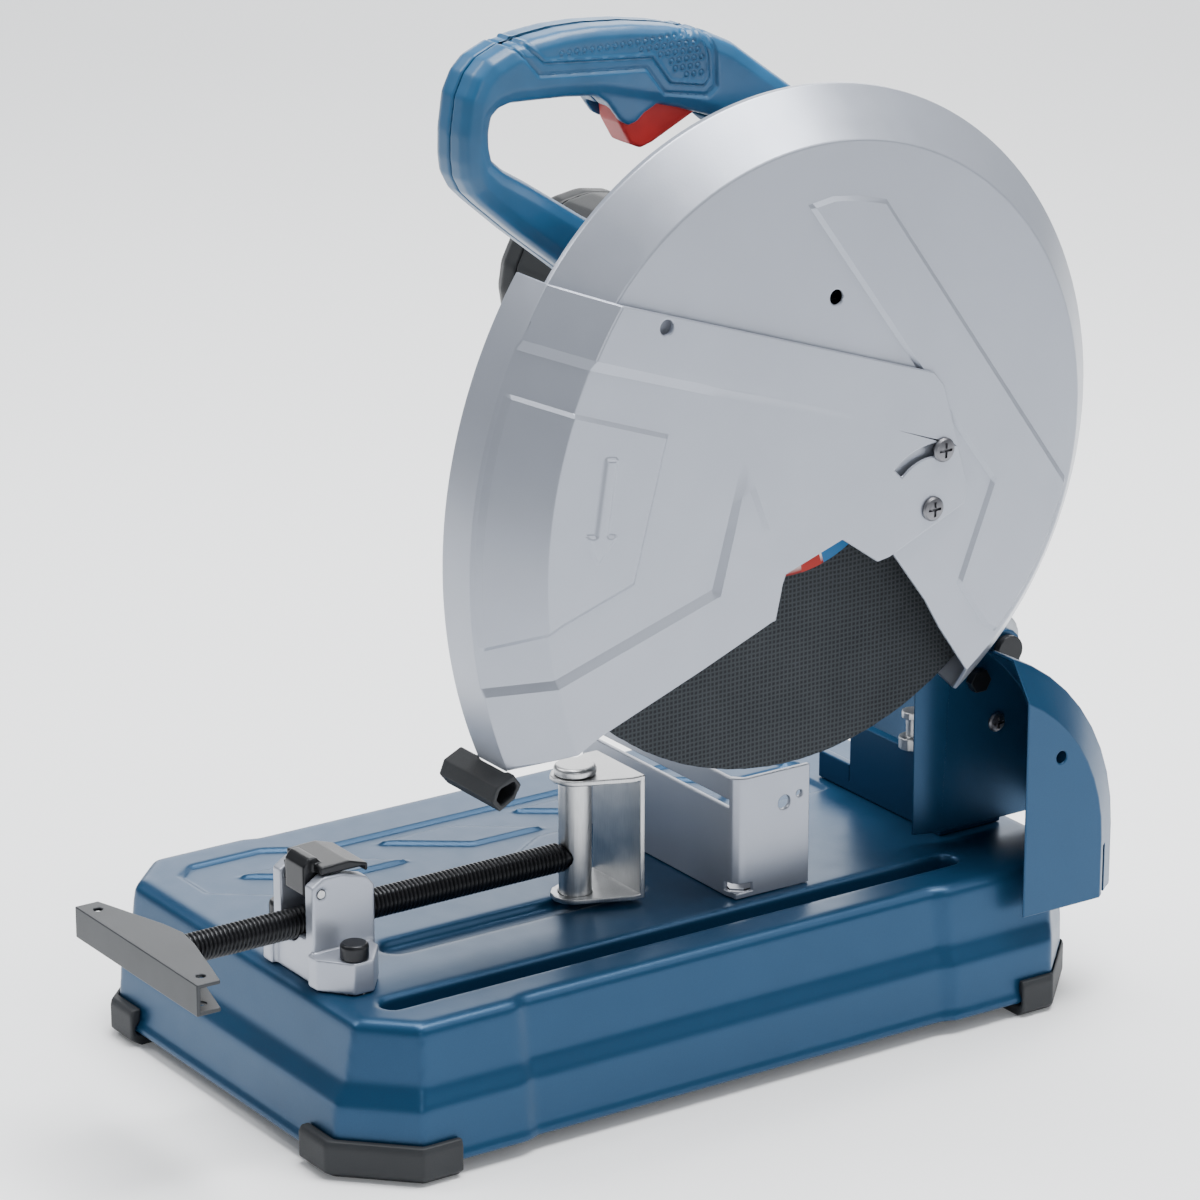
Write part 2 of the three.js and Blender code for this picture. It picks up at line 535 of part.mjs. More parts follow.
function makeMotor() {
  const { y, z } = motor;
  const inner = motor.radius - motor.wall;
  let body = slabX(shapeOf(housingOutline(0)), motor.front, housing.left - gap)
    .add(latheX(tube(inner, motor.radius, motor.rear, motor.front + 1), y, z, 20))
    .add(latheX(tube(16.2, 20, housing.left - 1, -59), 0, 0, 20))
    .subtract(latheX(rod(11.3, -90, -60), y, z, 24));
  for (const side of [-1, 1]) {
    body = body.subtract(latheY(rod(8.9, -80, 60), -148, z, 16).intersect(
      side < 0 ? block(-200, 0, -100, y, 0, 100) : block(-200, 0, y, 100, 0, 100)));
  }
  addPart('motor_housing', 'blackPlastic', body);

  let cap = latheX([[11.4, -193], [36, -193], [44, -188], [motor.radius, -176],
    [motor.radius, motor.rear - gap], [inner, motor.rear - gap], [inner, -175],
    [42, -185], [34, -189], [20, -189], [20, -178], [16.2, -178],
    [16.2, -187], [11.4, -187], [11.4, -193]], y, z, 20);
  for (let i = 0; i < 6; i++) {
    const angle = 60 * i + 30;
    const [slotY, slotZ] = arcPoints(y, z, 29, angle, angle, 1)[0];
    cap = cap.subtract(latheX(rod(4, -200, -180), slotY, slotZ, 6));
  }
  addPart('motor_end_cap', 'blackPlastic', cap);
  addPart('stator', 'grease', latheX(tube(29, inner - 2 * gap, -138, -99), y, z, 20));
  for (const [side, sign] of [['front', -1], ['rear', 1]]) {
    const ys = [y + sign * 17.6, y + sign * 38].sort((a, b) => a - b);
    addPart(`brush_${side}`, 'carbon', block(-152, -144, ys[0], ys[1], z - 4, z + 4));
    const ends = [y + sign * 38.4, y + sign * 49].sort((a, b) => a - b);
    addPart(`brush_cap_${side}`, 'blackPlastic', latheY(rod(8.5, ...ends), -148, z, 16));
  }
}

function gearOutline(teeth, centreY, centreZ, startDegrees) {
  const pitchRadius = gear.module * teeth / 2;
  const root = pitchRadius - 1.2 * gear.module;
  const tip = pitchRadius + 0.75 * gear.module;
  const outline = [];
  const pitchAngle = 360 / teeth;
  for (let i = 0; i < teeth; i++) {
    const middle = startDegrees + i * pitchAngle;
    for (const [share, radius] of [[-0.27, root], [-0.1, tip], [0.1, tip], [0.27, root]]) {
      outline.push(arcPoints(centreY, centreZ, radius, middle + share * pitchAngle, 0, 1)[0]);
    }
  }
  return shapeOf(outline);
}

function makeArmature() {
  const { y, z } = motor;
  // A pinion gap faces a wheel tooth on the line between the two shafts.
  const meshAngle = 90 + gear.tilt;
  const toothStart = meshAngle + 180 + 180 / gear.pinionTeeth;
  const pinion = slabX(gearOutline(gear.pinionTeeth, y, z, toothStart), -58, -38);
  const shaft = latheX([[0, -187.5], [5, -187.5], [5, -178], [6, -178], [6, -80.3], [5, -80.3], [5, -38],
    [0, -38]], y, z, 16);
  addPart('armature_shaft', 'platedSteel', shaft.add(pinion));
  addPart('armature_core', 'grease', latheX(tube(6.2, 28, -138, -99), y, z, 24));
  addPart('commutator', 'copper', latheX(tube(6.2, 17, -156, -142), y, z, 24));
  const blade = slabX(shapeOf(fanOutline(y, z)), -97, -88).subtract(latheX(rod(6.2, -110, -80), y, z, 16));
  addPart('cooling_fan', 'blackPlastic', blade);
  addPart('armature_bearing_front', 'platedSteel', latheX(tube(5.2, 11, -80, -71), y, z, 20));
  addPart('armature_bearing_rear', 'platedSteel', latheX(tube(5.2, 16, -186.7, -178.4), y, z, 20));

  const wheelOutline = gearOutline(gear.wheelTeeth, 0, 0, meshAngle);
  const blank = slabX(wheelOutline, -57, -42).subtract(latheX(rod(8.2, -60, -40), 0, 0, 24));
  addPart('spindle_gear', 'platedSteel', blank);
}

function fanOutline(y, z) {
  const outline = [];
  for (let i = 0; i < 10; i++) {
    outline.push(arcPoints(y, z, 40, 36 * i, 0, 1)[0], arcPoints(y, z, 40, 36 * i + 12, 0, 1)[0],
      arcPoints(y, z, 18, 36 * i + 14, 0, 1)[0], arcPoints(y, z, 18, 36 * i + 34, 0, 1)[0]);
  }
  return outline;
}

function makeSpindle() {
  addPart('spindle', 'platedSteel', latheX([[0, -69.5], [6, -69.5], [6, -59], [8, -59], [8, -41], [8.8, -41],
    [8.8, -39.5], [8.5, -39.5], [8.5, -13], [12.5, -13], [12.5, 0.8], [5, 0.8], [5, -9], [0, -9]], 0, 0, 16));
  addPart('spindle_bearing_rear', 'platedSteel', latheX(tube(6.2, 16, -69.8, -59.8), 0, 0, 20));
  addPart('spindle_bearing_front', 'platedSteel', latheX(tube(8.7, 17.6, -38.8, -23), 0, 0, 24));
  addPart('inner_flange', 'darkSteel', latheX([[12.8, -12], [30, -12], [40, -7], [40, -1.8], [30, -1.8],
    [30, -2.6], [12.8, -2.6], [12.8, -12]], 0, 0, 24));
  const disc = latheX(tube(wheel.bore, wheel.radius, -wheel.half, wheel.half), 0, 0, 60);
  addPart('abrasive_wheel', 'wheelGrit', disc);
  addPart('outer_flange', 'darkSteel', latheX([[5.3, 2.6], [30, 2.6], [30, 1.8], [40, 1.8], [40, 6.5],
    [26, 10], [5.3, 10], [5.3, 2.6]], 0, 0, 24));
  const head = slabX(shapeOf(arcPoints(0, 0, 9.8, 0, 300, 5)), 12.3, 19);
  const shank = latheX([[0, -8], [4.7, -8], [4.7, 10.3], [15, 10.3], [15, 12.5], [0, 12.5]], 0, 0, 20);
  addPart('spindle_bolt', 'darkSteel', head.add(shank));
}

// ---- guards ----
// A dish with a flat face, a sloping shoulder, a rim wall and a back edge that may lean inwards.
function dish(size, y, z, holeRadius, segments) {
  const { rim, face, sheet, back, waist, backRim, shoulder, front } = size;
  const slope = (front - shoulder) / (rim - face);
  const drop = sheet * (Math.hypot(1, slope) - 1) / slope;
  return latheX([[holeRadius, front - sheet], [face - drop * 0.6, front - sheet],
    [rim - sheet, shoulder - drop], [rim - sheet, waist - 0.5], [backRim - sheet, back], [backRim, back],
    [rim, waist], [rim, shoulder],
    [face, front], [holeRadius, front],
    [holeRadius, front - sheet]], y, z, segments);
}

function makeUpperGuard() {
  const kept = shapeOf([[-240, -25], [-60, -25], [-34, -38], [12, -38], [30, -46], [44.4, -61.5],
    [66, -91], [75.5, -107.5], [100, -143], [122, -184], [260, -184], [260, 240], [-240, 240]]);
  const { backRim, back, sheet } = upperGuard;
  const backWall = latheX(tube(33, backRim - 0.5, back, back + sheet), 0, 0, 52);
  const guard = dish(upperGuard, 0, 0, 24, 52).add(backWall)
    .intersect(slabX(kept, -40, 50))
    .subtract(latheX(rod(3.4, 20, 50), guardPivot.y, guardPivot.z, 12))
    .subtract(latheX(rod(3.4, 20, 50), 72.4, -7.9, 12))
    .subtract(latheX(rod(4, 20, 50), 5.5, 83.5, 16));
  addPart('upper_guard', 'silverPaint', guard);
  const screws = [['guard_pivot_screw', guardPivot.y, guardPivot.z], ['guard_stop_screw', 72.4, -7.9]];
  for (const [name, y, z] of screws) {
    addPart(name, 'darkSteel', latheX([[0, 24], [5.5, 24], [5.5, 29.7], [2.9, 29.7], [2.9, 36.3], [6.5, 36.3],
      [6.5, 38.2], [4.5, 40], [0, 40]], y, z, 16));
  }
}

function makeSwingGuard() {
  const { y, z } = guardPivot;
  const kept = shapeOf([[66, 35], [-330, 169], [-330, -222], [-200, -151], [-142.8, -121.7], [-34.4, -81.1],
    [-28.4, -57.9], [8.4, -45.7], [31.3, -62], [39, -60.7], [87.7, -39.9], [89.4, -30.3], [72.7, 26.9]]);
  const { radius, half, from, to } = guardSlot;
  const slot = shapeOf([...arcPoints(y, z, radius + half, from - 7, to + 1, 8),
    ...arcPoints(y, z, radius - half, to + 1, from - 7, 8)]);
  const guard = dish(swingGuard, y, z, 3.3, 80)
    .intersect(slabX(kept, -40, 60))
    .subtract(slabX(slot, 20, 50))
    .subtract(latheX(rod(4, 20, 50), -103.7, 86, 16));
  addPart('swing_guard', 'silverPaint', guard);
  const nub = shapeOf([[-181, -141.5], [-176.5, -148], [-180.5, -155], [-189.5, -160], [-194.5, -154],
    [-191.5, -146.5]]);
  const around = swingGuard.rim + gap;
  const grown = { ...swingGuard, rim: around, backRim: around, back: swingGuard.back - gap };
  const cleared = dish(grown, y, z, 3.3, 80);
  addPart('guard_nub', 'rubber', slabX(nub, -36, swingGuard.back - gap, 1.5)
    .add(slabX(nub, -19.9, 15).subtract(cleared)));
}

// ---- handle ----
function gripOutline() {
  const outside = smoothPoints([[30, 96], [42, 140], [36, 171], [22, 182], [-15, 208], [-52, 218.3],
    [-95, 222.5], [-127, 220.6], [-154, 213], [-166.5, 198.3], [-171, 166], [-168.5, 149], [-155, 134.4],
    [-104.4, 93.3],
    [-62, 59]], 26);
  const inside = smoothPoints([[-153, 183], [-146, 187.5], [-125, 187.5], [-93, 185.5], [-70, 180],
    [-40, 172], [-12, 160], [2, 140], [-4, 118], [-28, 106], [-56, 104], [-84, 116], [-137, 150],
    [-152, 160], [-154.5, 171]], 24, true);
  return shapeOf([...outside, [-10, 40]], [inside.reverse()]);
}

function makeHandle() {
  const grip = gripOutline();
  const { left, right, wall, round } = handle;
  const body = slabX(grip, left, right, round);
  const hollow = slabX(grip, left + wall, right - wall, round - 4, wall);
  const clear = slabX(shapeOf(housingOutline(3 * gap)), -100, -20)
    .add(block(-67.5, -46.5, -78.5, -14, 150, 190));
  const shell = body.subtract(hollow).subtract(clear);
  const apart = gap / 2;
  addPart('handle_right', 'bluePlastic', shell.intersect(block(handle.split + apart, 0, -250, 100, 0, 300)));
  addPart('handle_left', 'bluePlastic', shell.intersect(block(-150, handle.split - apart, -250, 100, 0, 300)));

  const finger = shapeOf([[-77, 187], [-74.5, 169], [-67.5, 157], [-61, 154], [-54, 156], [-29, 168],
    [-18, 172], [-16, 178], [-20, 183], [-30, 185.5]]);
  addPart('trigger', 'redPlastic', slabX(finger, -66.5, -47.5, 1.5));
  const switchBody = block(-66, -48, -86, -42, 197, 207).add(block(-59, -55, -74, -70, 195, 198));
  addPart('switch_body', 'blackPlastic', switchBody);
  const gland = latheX([[4, -214], [7, -214], [9, -196], [9, -193.3], [4, -193.3], [4, -214]],
    motor.y, motor.z + 26, 16);
  addPart('cable_gland', 'rubber', gland);
}

makeBase();
makeFeet();
makeHingeBracket();
makeHood();
makeFence();
makeViseBody();
makeReleaseLever();
makeViseScrew();
makeJaw();
makeGearHousing();
makeSwingArm();
makeReturnSpring();
makeMotor();
makeArmature();
makeSpindle();
makeUpperGuard();
makeSwingGuard();
makeHandle();

machine.position.set(-outlineCentre.x, -outlineCentre.y, -groundZ);
const saw = new THREE.Group();
saw.add(machine);
export default saw;
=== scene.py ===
"""Looks of the abrasive chop saw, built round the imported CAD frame.

Lengths are in millimetres from the wheel's centre unless a comment says otherwise.
"""

import math

import bmesh
import bpy
import numpy as np
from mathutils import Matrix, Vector
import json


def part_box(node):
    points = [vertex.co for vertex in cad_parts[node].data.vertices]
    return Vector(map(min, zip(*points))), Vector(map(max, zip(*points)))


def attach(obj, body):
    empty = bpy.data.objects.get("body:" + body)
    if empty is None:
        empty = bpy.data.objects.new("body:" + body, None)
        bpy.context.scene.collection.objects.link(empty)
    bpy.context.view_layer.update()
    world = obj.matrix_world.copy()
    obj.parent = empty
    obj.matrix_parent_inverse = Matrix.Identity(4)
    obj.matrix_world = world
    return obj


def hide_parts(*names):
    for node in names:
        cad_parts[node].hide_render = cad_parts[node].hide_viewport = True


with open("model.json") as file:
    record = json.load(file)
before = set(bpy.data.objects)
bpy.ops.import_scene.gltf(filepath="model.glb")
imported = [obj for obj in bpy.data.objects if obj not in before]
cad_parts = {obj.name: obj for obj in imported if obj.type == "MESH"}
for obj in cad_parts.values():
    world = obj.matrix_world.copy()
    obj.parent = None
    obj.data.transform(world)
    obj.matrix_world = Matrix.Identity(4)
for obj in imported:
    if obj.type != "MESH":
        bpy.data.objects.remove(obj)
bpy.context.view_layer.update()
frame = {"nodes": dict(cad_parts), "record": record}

MM = 0.001
WELD = 1e-6  # metres
wheel_low, wheel_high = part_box("abrasive_wheel")
HUB = (wheel_low + wheel_high) / 2  # the pieces are laid out round the wheel's centre


def at(x, y, z):
    """A point given in millimetres from the wheel's centre, in the row frame."""
    return HUB + Vector((x, y, z)) * MM


record = frame["record"]
SLOT_OF = {part["node"]: part["material_slot"] for part in record["subparts"]}
BODY_OF = {node: body for body, nodes in record["behaviour"]["bodies"].items() for node in nodes}


# ---- camera, floor and light, in metres and degrees ----
CAMERA_PLACE = (2.1786, -1.4393, 1.1273)
CAMERA_AZIMUTH = 56
CAMERA_ELEVATION = 18.8
CAMERA_LENS = 156  # millimetres, for the sensor's width below
CAMERA_SENSOR = 36
CAMERA_REACH = 100
SAW_MIDDLE = (0, 0, 0.28)
FLOOR_HALF_SIZE = 30
SKY_COLOUR = (0.86, 0.92, 1.0, 1)
SKY_STRENGTH = 0.26
LIGHTS = [  # name, place, width and height, watts
    ("key_light", (-1.5, -1.3, 2.3), (1.2, 0.9), 32),
    ("top_light", (0.1, 0.5, 2.6), (1.8, 1.8), 175),
    ("side_light", (2.6, -1.0, 1.3), (1.0, 0.8), 8),
    ("rear_light", (1.8, 1.4, 1.9), (1.6, 1.4), 16),
    ("back_light", (-3.2, 2.2, 1.35), (3.0, 1.8), 60),
]


def make_camera():
    """Looks down at the saw's front right corner."""
    azimuth = math.radians(CAMERA_AZIMUTH)
    elevation = math.radians(CAMERA_ELEVATION)
    back = Vector((math.sin(azimuth) * math.cos(elevation), -math.cos(azimuth) * math.cos(elevation),
                   math.sin(elevation)))
    data = bpy.data.cameras.new("camera")
    data.lens = CAMERA_LENS
    data.sensor_width = CAMERA_SENSOR
    data.clip_end = CAMERA_REACH
    camera = bpy.data.objects.new("camera", data)
    camera.location = CAMERA_PLACE
    camera.rotation_euler = back.to_track_quat("Z", "Y").to_euler()
    bpy.context.scene.collection.objects.link(camera)
    bpy.context.scene.camera = camera


def make_light(name, place, size, power):
    """A soft box that faces the middle of the saw."""
    data = bpy.data.lights.new(name, "AREA")
    data.shape = "RECTANGLE"
    data.size, data.size_y = size
    data.energy = power
    light = bpy.data.objects.new(name, data)
    light.location = place
    light.rotation_euler = (Vector(place) - Vector(SAW_MIDDLE)).to_track_quat("Z", "Y").to_euler()
    bpy.context.scene.collection.objects.link(light)


def make_stage():
    """The floor, the even sky and the lights."""
    bm = bmesh.new()
    bmesh.ops.create_grid(bm, x_segments=1, y_segments=1, size=FLOOR_HALF_SIZE)
    mesh = bpy.data.meshes.new("floor")
    bm.to_mesh(mesh)
    bm.free()
    floor = bpy.data.objects.new("floor", mesh)
    bpy.context.scene.collection.objects.link(floor)
    floor.data.materials.append(MATERIALS["floor"])
    world = bpy.data.worlds.new("studio")
    world.use_nodes = True
    background = world.node_tree.nodes["Background"]
    background.inputs["Color"].default_value = SKY_COLOUR
    background.inputs["Strength"].default_value = SKY_STRENGTH
    bpy.context.scene.world = world
    for name, place, size, power in LIGHTS:
        make_light(name, place, size, power)


# ---- materials ----
def srgb(red, green, blue):
    """An 8-bit display colour as the shader's linear colour."""
    def linear(value):
        value /= 255
        return value / 12.92 if value <= 0.04045 else ((value + 0.055) / 1.055) ** 2.4
    return (linear(red), linear(green), linear(blue), 1)


class Shader:
    """A principled material with short calls for the nodes that feed it."""

    def __init__(self, name, metallic=0.0, roughness=0.5, specular=0.5, coat=0.0, coat_roughness=0.1):
        self.material = bpy.data.materials.new(name)
        self.material.use_nodes = True
        self.tree = self.material.node_tree
        self.surface = self.tree.nodes["Principled BSDF"]
        self.place = self.add("ShaderNodeTexCoord").outputs["Object"]
        self.set(self.surface, "Metallic", metallic)
        self.set(self.surface, "Roughness", roughness)
        self.set(self.surface, "Specular IOR Level", specular)
        self.set(self.surface, "Coat Weight", coat)
        self.set(self.surface, "Coat Roughness", coat_roughness)

    def add(self, kind, **settings):
        node = self.tree.nodes.new(kind)
        for key, value in settings.items():
            setattr(node, key, value)
        return node

    def set(self, node, socket, value):
        if isinstance(value, bpy.types.NodeSocket):
            self.tree.links.new(value, node.inputs[socket])
        else:
            node.inputs[socket].default_value = value

    def stretched(self, scale):
        """The place, scaled on each axis, so that a texture on it runs long where the scale is small."""
        mapping = self.add("ShaderNodeMapping")
        self.set(mapping, "Vector", self.place)
        self.set(mapping, "Scale", scale)
        return mapping.outputs["Vector"]

    def noise(self, size_mm, detail=2.0, vector=None):
        node = self.add("ShaderNodeTexNoise")
        self.set(node, "Vector", vector or self.place)
        self.set(node, "Scale", 1 / (size_mm * MM))
        self.set(node, "Detail", detail)
        return node.outputs["Fac"]

    def ramp(self, value, stops):
        node = self.add("ShaderNodeValToRGB")
        self.set(node, "Fac", value)
        elements = node.color_ramp.elements
        while len(elements) < len(stops):
            elements.new(0.5)
        for element, (position, colour) in zip(elements, stops):
            element.position = position
            element.color = colour
        return node.outputs["Color"]

    def math(self, operation, first, second=0.0, third=0.0):
        node = self.add("ShaderNodeMath", operation=operation)
        for socket, value in enumerate((first, second, third)):
            self.set(node, socket, value)
        return node.outputs["Value"]

    def range(self, value, low, high, from_low=0.0, from_high=1.0):
        node = self.add("ShaderNodeMapRange")
        for socket, amount in (("Value", value), ("From Min", from_low), ("From Max", from_high),
                               ("To Min", low), ("To Max", high)):
            self.set(node, socket, amount)
        return node.outputs["Result"]

    def mix(self, share, first, second):
        """Mixes two colours. The node has a set of sockets for each kind of data, so they go by number."""
        factor, colour_a, colour_b, colour_out = 0, 6, 7, 2
        node = self.add("ShaderNodeMix", data_type="RGBA")
        self.set(node, factor, share)
        self.set(node, colour_a, first)
        self.set(node, colour_b, second)
        return node.outputs[colour_out]

    def bump(self, height, depth_mm, under=None):
        node = self.add("ShaderNodeBump")
        self.set(node, "Height", height)
        self.set(node, "Distance", depth_mm * MM)
        self.set(node, "Strength", 1.0)
        if under is not None:
            self.set(node, "Normal", under)
        return node.outputs["Normal"]

    def paint(self, **sockets):
        for socket, value in sockets.items():
            self.set(self.surface, socket.replace("_", " ").title(), value)
        return self.material


def scaled(colour, factor):
    """A lighter or darker tone of a colour."""
    return tuple(min(1.0, channel * factor) for channel in colour[:3]) + (1,)


# In each material below, a noise takes its size in millimetres and then its detail.
def metal_flake_paint(name, colour, metallic, roughness, flake, coat):
    """Sprayed paint: fine flakes that vary in tone, an even pebble from the spray gun, and broad drift."""
    shader = Shader(name, metallic=metallic, specular=0.35, coat=coat, coat_roughness=0.22)
    flakes = shader.noise(0.35, 1.0)
    drift = shader.noise(60, 2.0)
    tone = shader.ramp(flakes, [(0.30, scaled(colour, 1 - flake)), (0.70, scaled(colour, 1 + flake))])
    broad = shader.ramp(drift, [(0.25, scaled(colour, 0.93)), (0.75, scaled(colour, 1.06))])
    rough = shader.range(shader.noise(14, 3.0), roughness - 0.05, roughness + 0.06)
    normal = shader.bump(shader.noise(1.6, 2.0), 0.02)
    return shader.paint(base_color=shader.mix(0.4, tone, broad), roughness=rough, normal=normal)


def moulded_plastic(name, colour, roughness, grain_mm, depth_mm, coat=0.0):
    """Moulded plastic or rubber: spark-eroded grain with slightly uneven gloss."""
    shader = Shader(name, specular=0.45, coat=coat)
    grain = shader.noise(grain_mm, 3.0)
    tone = shader.ramp(shader.noise(25, 3.0), [(0.3, scaled(colour, 0.88)), (0.7, scaled(colour, 1.1))])
    rough = shader.range(grain, roughness - 0.08, roughness + 0.08)
    return shader.paint(base_color=tone, roughness=rough, normal=shader.bump(grain, depth_mm))


def brushed_metal(name, colour, roughness, stretch, depth_mm):
    """Bare or plated metal with fine lines along one axis and a little cloudiness."""
    shader = Shader(name, metallic=1.0)
    lines = shader.noise(0.5, 3.0, shader.stretched(stretch))
    cloud = shader.noise(9, 3.0)
    tone = shader.mix(0.5, shader.ramp(lines, [(0.3, scaled(colour, 0.8)), (0.7, scaled(colour, 1.12))]),
                      shader.ramp(cloud, [(0.3, scaled(colour, 0.85)), (0.7, scaled(colour, 1.08))]))
    rough = shader.range(cloud, roughness - 0.06, roughness + 0.1)
    return shader.paint(base_color=tone, roughness=rough, normal=shader.bump(lines, depth_mm))


def cast_metal(name, colour, roughness, metallic, grain_mm, depth_mm):
    """Sand-blasted casting."""
    shader = Shader(name, metallic=metallic)
    grain = shader.noise(grain_mm, 4.0)
    tone = shader.ramp(shader.noise(18, 4.0), [(0.3, scaled(colour, 0.85)), (0.7, scaled(colour, 1.1))])
    return shader.paint(base_color=tone, roughness=shader.range(grain, roughness - 0.1, roughness + 0.1),
                        normal=shader.bump(grain, depth_mm))


def wheel_grit_material():
    """Resin-bonded grit behind an open glass-fibre weave, with square cells that show as a fine grid."""
    weave_pitch, waviness = 2.6, 2.4
    shader = Shader("wheel_grit", metallic=0.0, specular=0.25)
    separate = shader.add("ShaderNodeSeparateXYZ")
    wobble = shader.noise(7, 2.0)
    shader.set(separate, "Vector", shader.place)
    threads = []
    for axis in ("Y", "Z"):
        angle = shader.math("MULTIPLY", separate.outputs[axis], 2 * math.pi / (weave_pitch * MM))
        shifted = shader.math("ADD", angle, shader.math("MULTIPLY", wobble, waviness))
        threads.append(shader.range(shader.math("SINE", shifted), 0, 1, -1, 1))
    weave = shader.math("MAXIMUM", *threads)
    grit = shader.noise(0.5, 3.0)
    cells = shader.math("MULTIPLY", weave, shader.range(grit, 0.75, 1.0))
    tone = shader.ramp(cells, [(0.25, srgb(30, 33, 36)), (0.95, srgb(66, 70, 74))])
    patches = shader.ramp(shader.noise(30, 3.0), [(0.3, srgb(44, 47, 51)), (0.7, srgb(60, 63, 67))])
    normal = shader.bump(cells, 0.35, under=shader.bump(grit, 0.12))
    return shader.paint(base_color=shader.mix(0.3, tone, patches), roughness=0.9, normal=normal)


def wheel_label_material():
    """A plain paper label: pale, with thin rings, one blue field and one red field, and no printing."""
    shader = Shader("wheel_label", specular=0.3)
    blue_turn, blue_half = -1.05, 0.22  # radians round the wheel
    red_turn, red_half = -1.38, 0.09
    separate = shader.add("ShaderNodeSeparateXYZ")
    shader.set(separate, "Vector", shader.place)
    across = shader.math("SUBTRACT", separate.outputs["Y"], HUB.y)
    upward = shader.math("SUBTRACT", separate.outputs["Z"], HUB.z)
    radius = shader.math("SQRT", shader.math("ADD", shader.math("POWER", across, 2.0),
                                             shader.math("POWER", upward, 2.0)))
    paper = srgb(226, 226, 222)
    ring = shader.ramp(shader.range(radius, 0, 1, 0, 0.08),
                       [(0.0, paper), (0.30, srgb(40, 96, 140)), (0.36, paper), (0.85, paper),
                        (0.90, srgb(150, 36, 34)), (0.93, srgb(40, 40, 42))])
    turn = shader.math("ARCTAN2", upward, across)
    field = shader.math("COMPARE", turn, blue_turn, blue_half)
    band = shader.math("COMPARE", turn, red_turn, red_half)
    tone = shader.mix(field, ring, srgb(34, 104, 158))
    tone = shader.mix(band, tone, srgb(170, 44, 38))
    fibre = shader.noise(0.6, 3.0)
    rough = shader.range(fibre, 0.5, 0.7)
    return shader.paint(base_color=tone, roughness=rough, normal=shader.bump(fibre, 0.02))


def floor_material():
    """A plain pale sweep that glows a little, as an evenly lit studio floor does."""
    shader = Shader("floor", specular=0.2)
    tone = shader.ramp(shader.noise(900, 2.0), [(0.3, (0.90, 0.91, 0.92, 1)), (0.7, (0.93, 0.94, 0.95, 1))])
    return shader.paint(base_color=tone, roughness=0.75, emission_color=tone, emission_strength=0.10)


MATERIALS = {
    "blue_paint": metal_flake_paint("blue_paint", srgb(24, 64, 96), metallic=0.42, roughness=0.34,
                                    flake=0.16, coat=0.04),
    "blue_plastic": moulded_plastic("blue_plastic", srgb(30, 84, 122), roughness=0.4, grain_mm=0.45,
                                    depth_mm=0.012, coat=0.1),
    "silver_paint": metal_flake_paint("silver_paint", srgb(160, 165, 176), metallic=0.5, roughness=0.33,
                                      flake=0.03, coat=0.2),
    "cast_aluminium": cast_metal("cast_aluminium", srgb(176, 180, 185), roughness=0.5, metallic=0.8,
                                 grain_mm=0.8, depth_mm=0.08),
    "plated_steel": brushed_metal("plated_steel", srgb(196, 197, 198), roughness=0.34,
                                  stretch=(1, 1, 0.05), depth_mm=0.003),
    "dark_steel": cast_metal("dark_steel", srgb(44, 47, 51), roughness=0.42, metallic=0.3,
                             grain_mm=0.5, depth_mm=0.015),
    "black_oxide": cast_metal("black_oxide", srgb(34, 35, 38), roughness=0.32, metallic=0.6,
                              grain_mm=0.4, depth_mm=0.015),
    "black_plastic": moulded_plastic("black_plastic", srgb(22, 25, 28), roughness=0.5, grain_mm=0.5,
                                     depth_mm=0.04),
    "rubber": moulded_plastic("rubber", srgb(28, 31, 35), roughness=0.6, grain_mm=0.7, depth_mm=0.05),
    "wheel_grit": wheel_grit_material(),
    "wheel_label": wheel_label_material(),
    "red_plastic": moulded_plastic("red_plastic", srgb(196, 38, 34), roughness=0.46, grain_mm=0.6,
                                   depth_mm=0.015, coat=0.05),
    "copper": brushed_metal("copper", srgb(176, 112, 62), roughness=0.35, stretch=(1, 0.1, 1),
                            depth_mm=0.01),
    "carbon": cast_metal("carbon", srgb(42, 42, 44), roughness=0.7, metallic=0.1, grain_mm=0.4,
                         depth_mm=0.02),
    "core_steel": brushed_metal("core_steel", srgb(120, 120, 124), roughness=0.4, stretch=(8, 0.3, 0.3),
                                depth_mm=0.02),
    "floor": floor_material(),
}


# ---- mesh tools ----
def cad_copy(node):
    """A CAD node's mesh, welded, with its flat regions merged into single faces."""
    bm = bmesh.new()
    bm.from_mesh(frame["nodes"][node].data)
    bmesh.ops.remove_doubles(bm, verts=bm.verts, dist=WELD)
    bmesh.ops.dissolve_limit(bm, angle_limit=math.radians(0.4), use_dissolve_boundaries=False,
                             verts=bm.verts, edges=bm.edges)
    bm.normal_update()
    return bm


def add_piece(name, bm, body, slot, material=None, smooth=35, replaces=()):
    """Makes the visible piece from a mesh: smooth shading up to an angle, its finish and its body."""
    mesh = bpy.data.meshes.new(name)
    bmesh.ops.recalc_face_normals(bm, faces=bm.faces)
    bm.to_mesh(mesh)
    bm.free()
    mesh.shade_smooth()
    mesh.set_sharp_from_angle(angle=math.radians(smooth))
    mesh.materials.append(MATERIALS[material or slot])
    piece = bpy.data.objects.new(name, mesh)
    bpy.context.scene.collection.objects.link(piece)
    weighting = piece.modifiers.new("weighting", "WEIGHTED_NORMAL")
    weighting.keep_sharp = True
    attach(piece, body)
    if replaces:
        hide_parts(*replaces)


def round_edges(bm, width, least_turn=28, longer_than=0.0):
    """Rounds the edges that turn by more than an angle and are longer than a length."""
    limit = math.radians(least_turn)
    edges = [edge for edge in bm.edges
             if len(edge.link_faces) == 2 and edge.calc_face_angle() > limit
             and edge.calc_length() > longer_than * MM]
    bmesh.ops.bevel(bm, geom=edges, offset=width * MM, offset_type="OFFSET", segments=2,
                    profile=0.5, affect="EDGES", clamp_overlap=False)
    bm.normal_update()


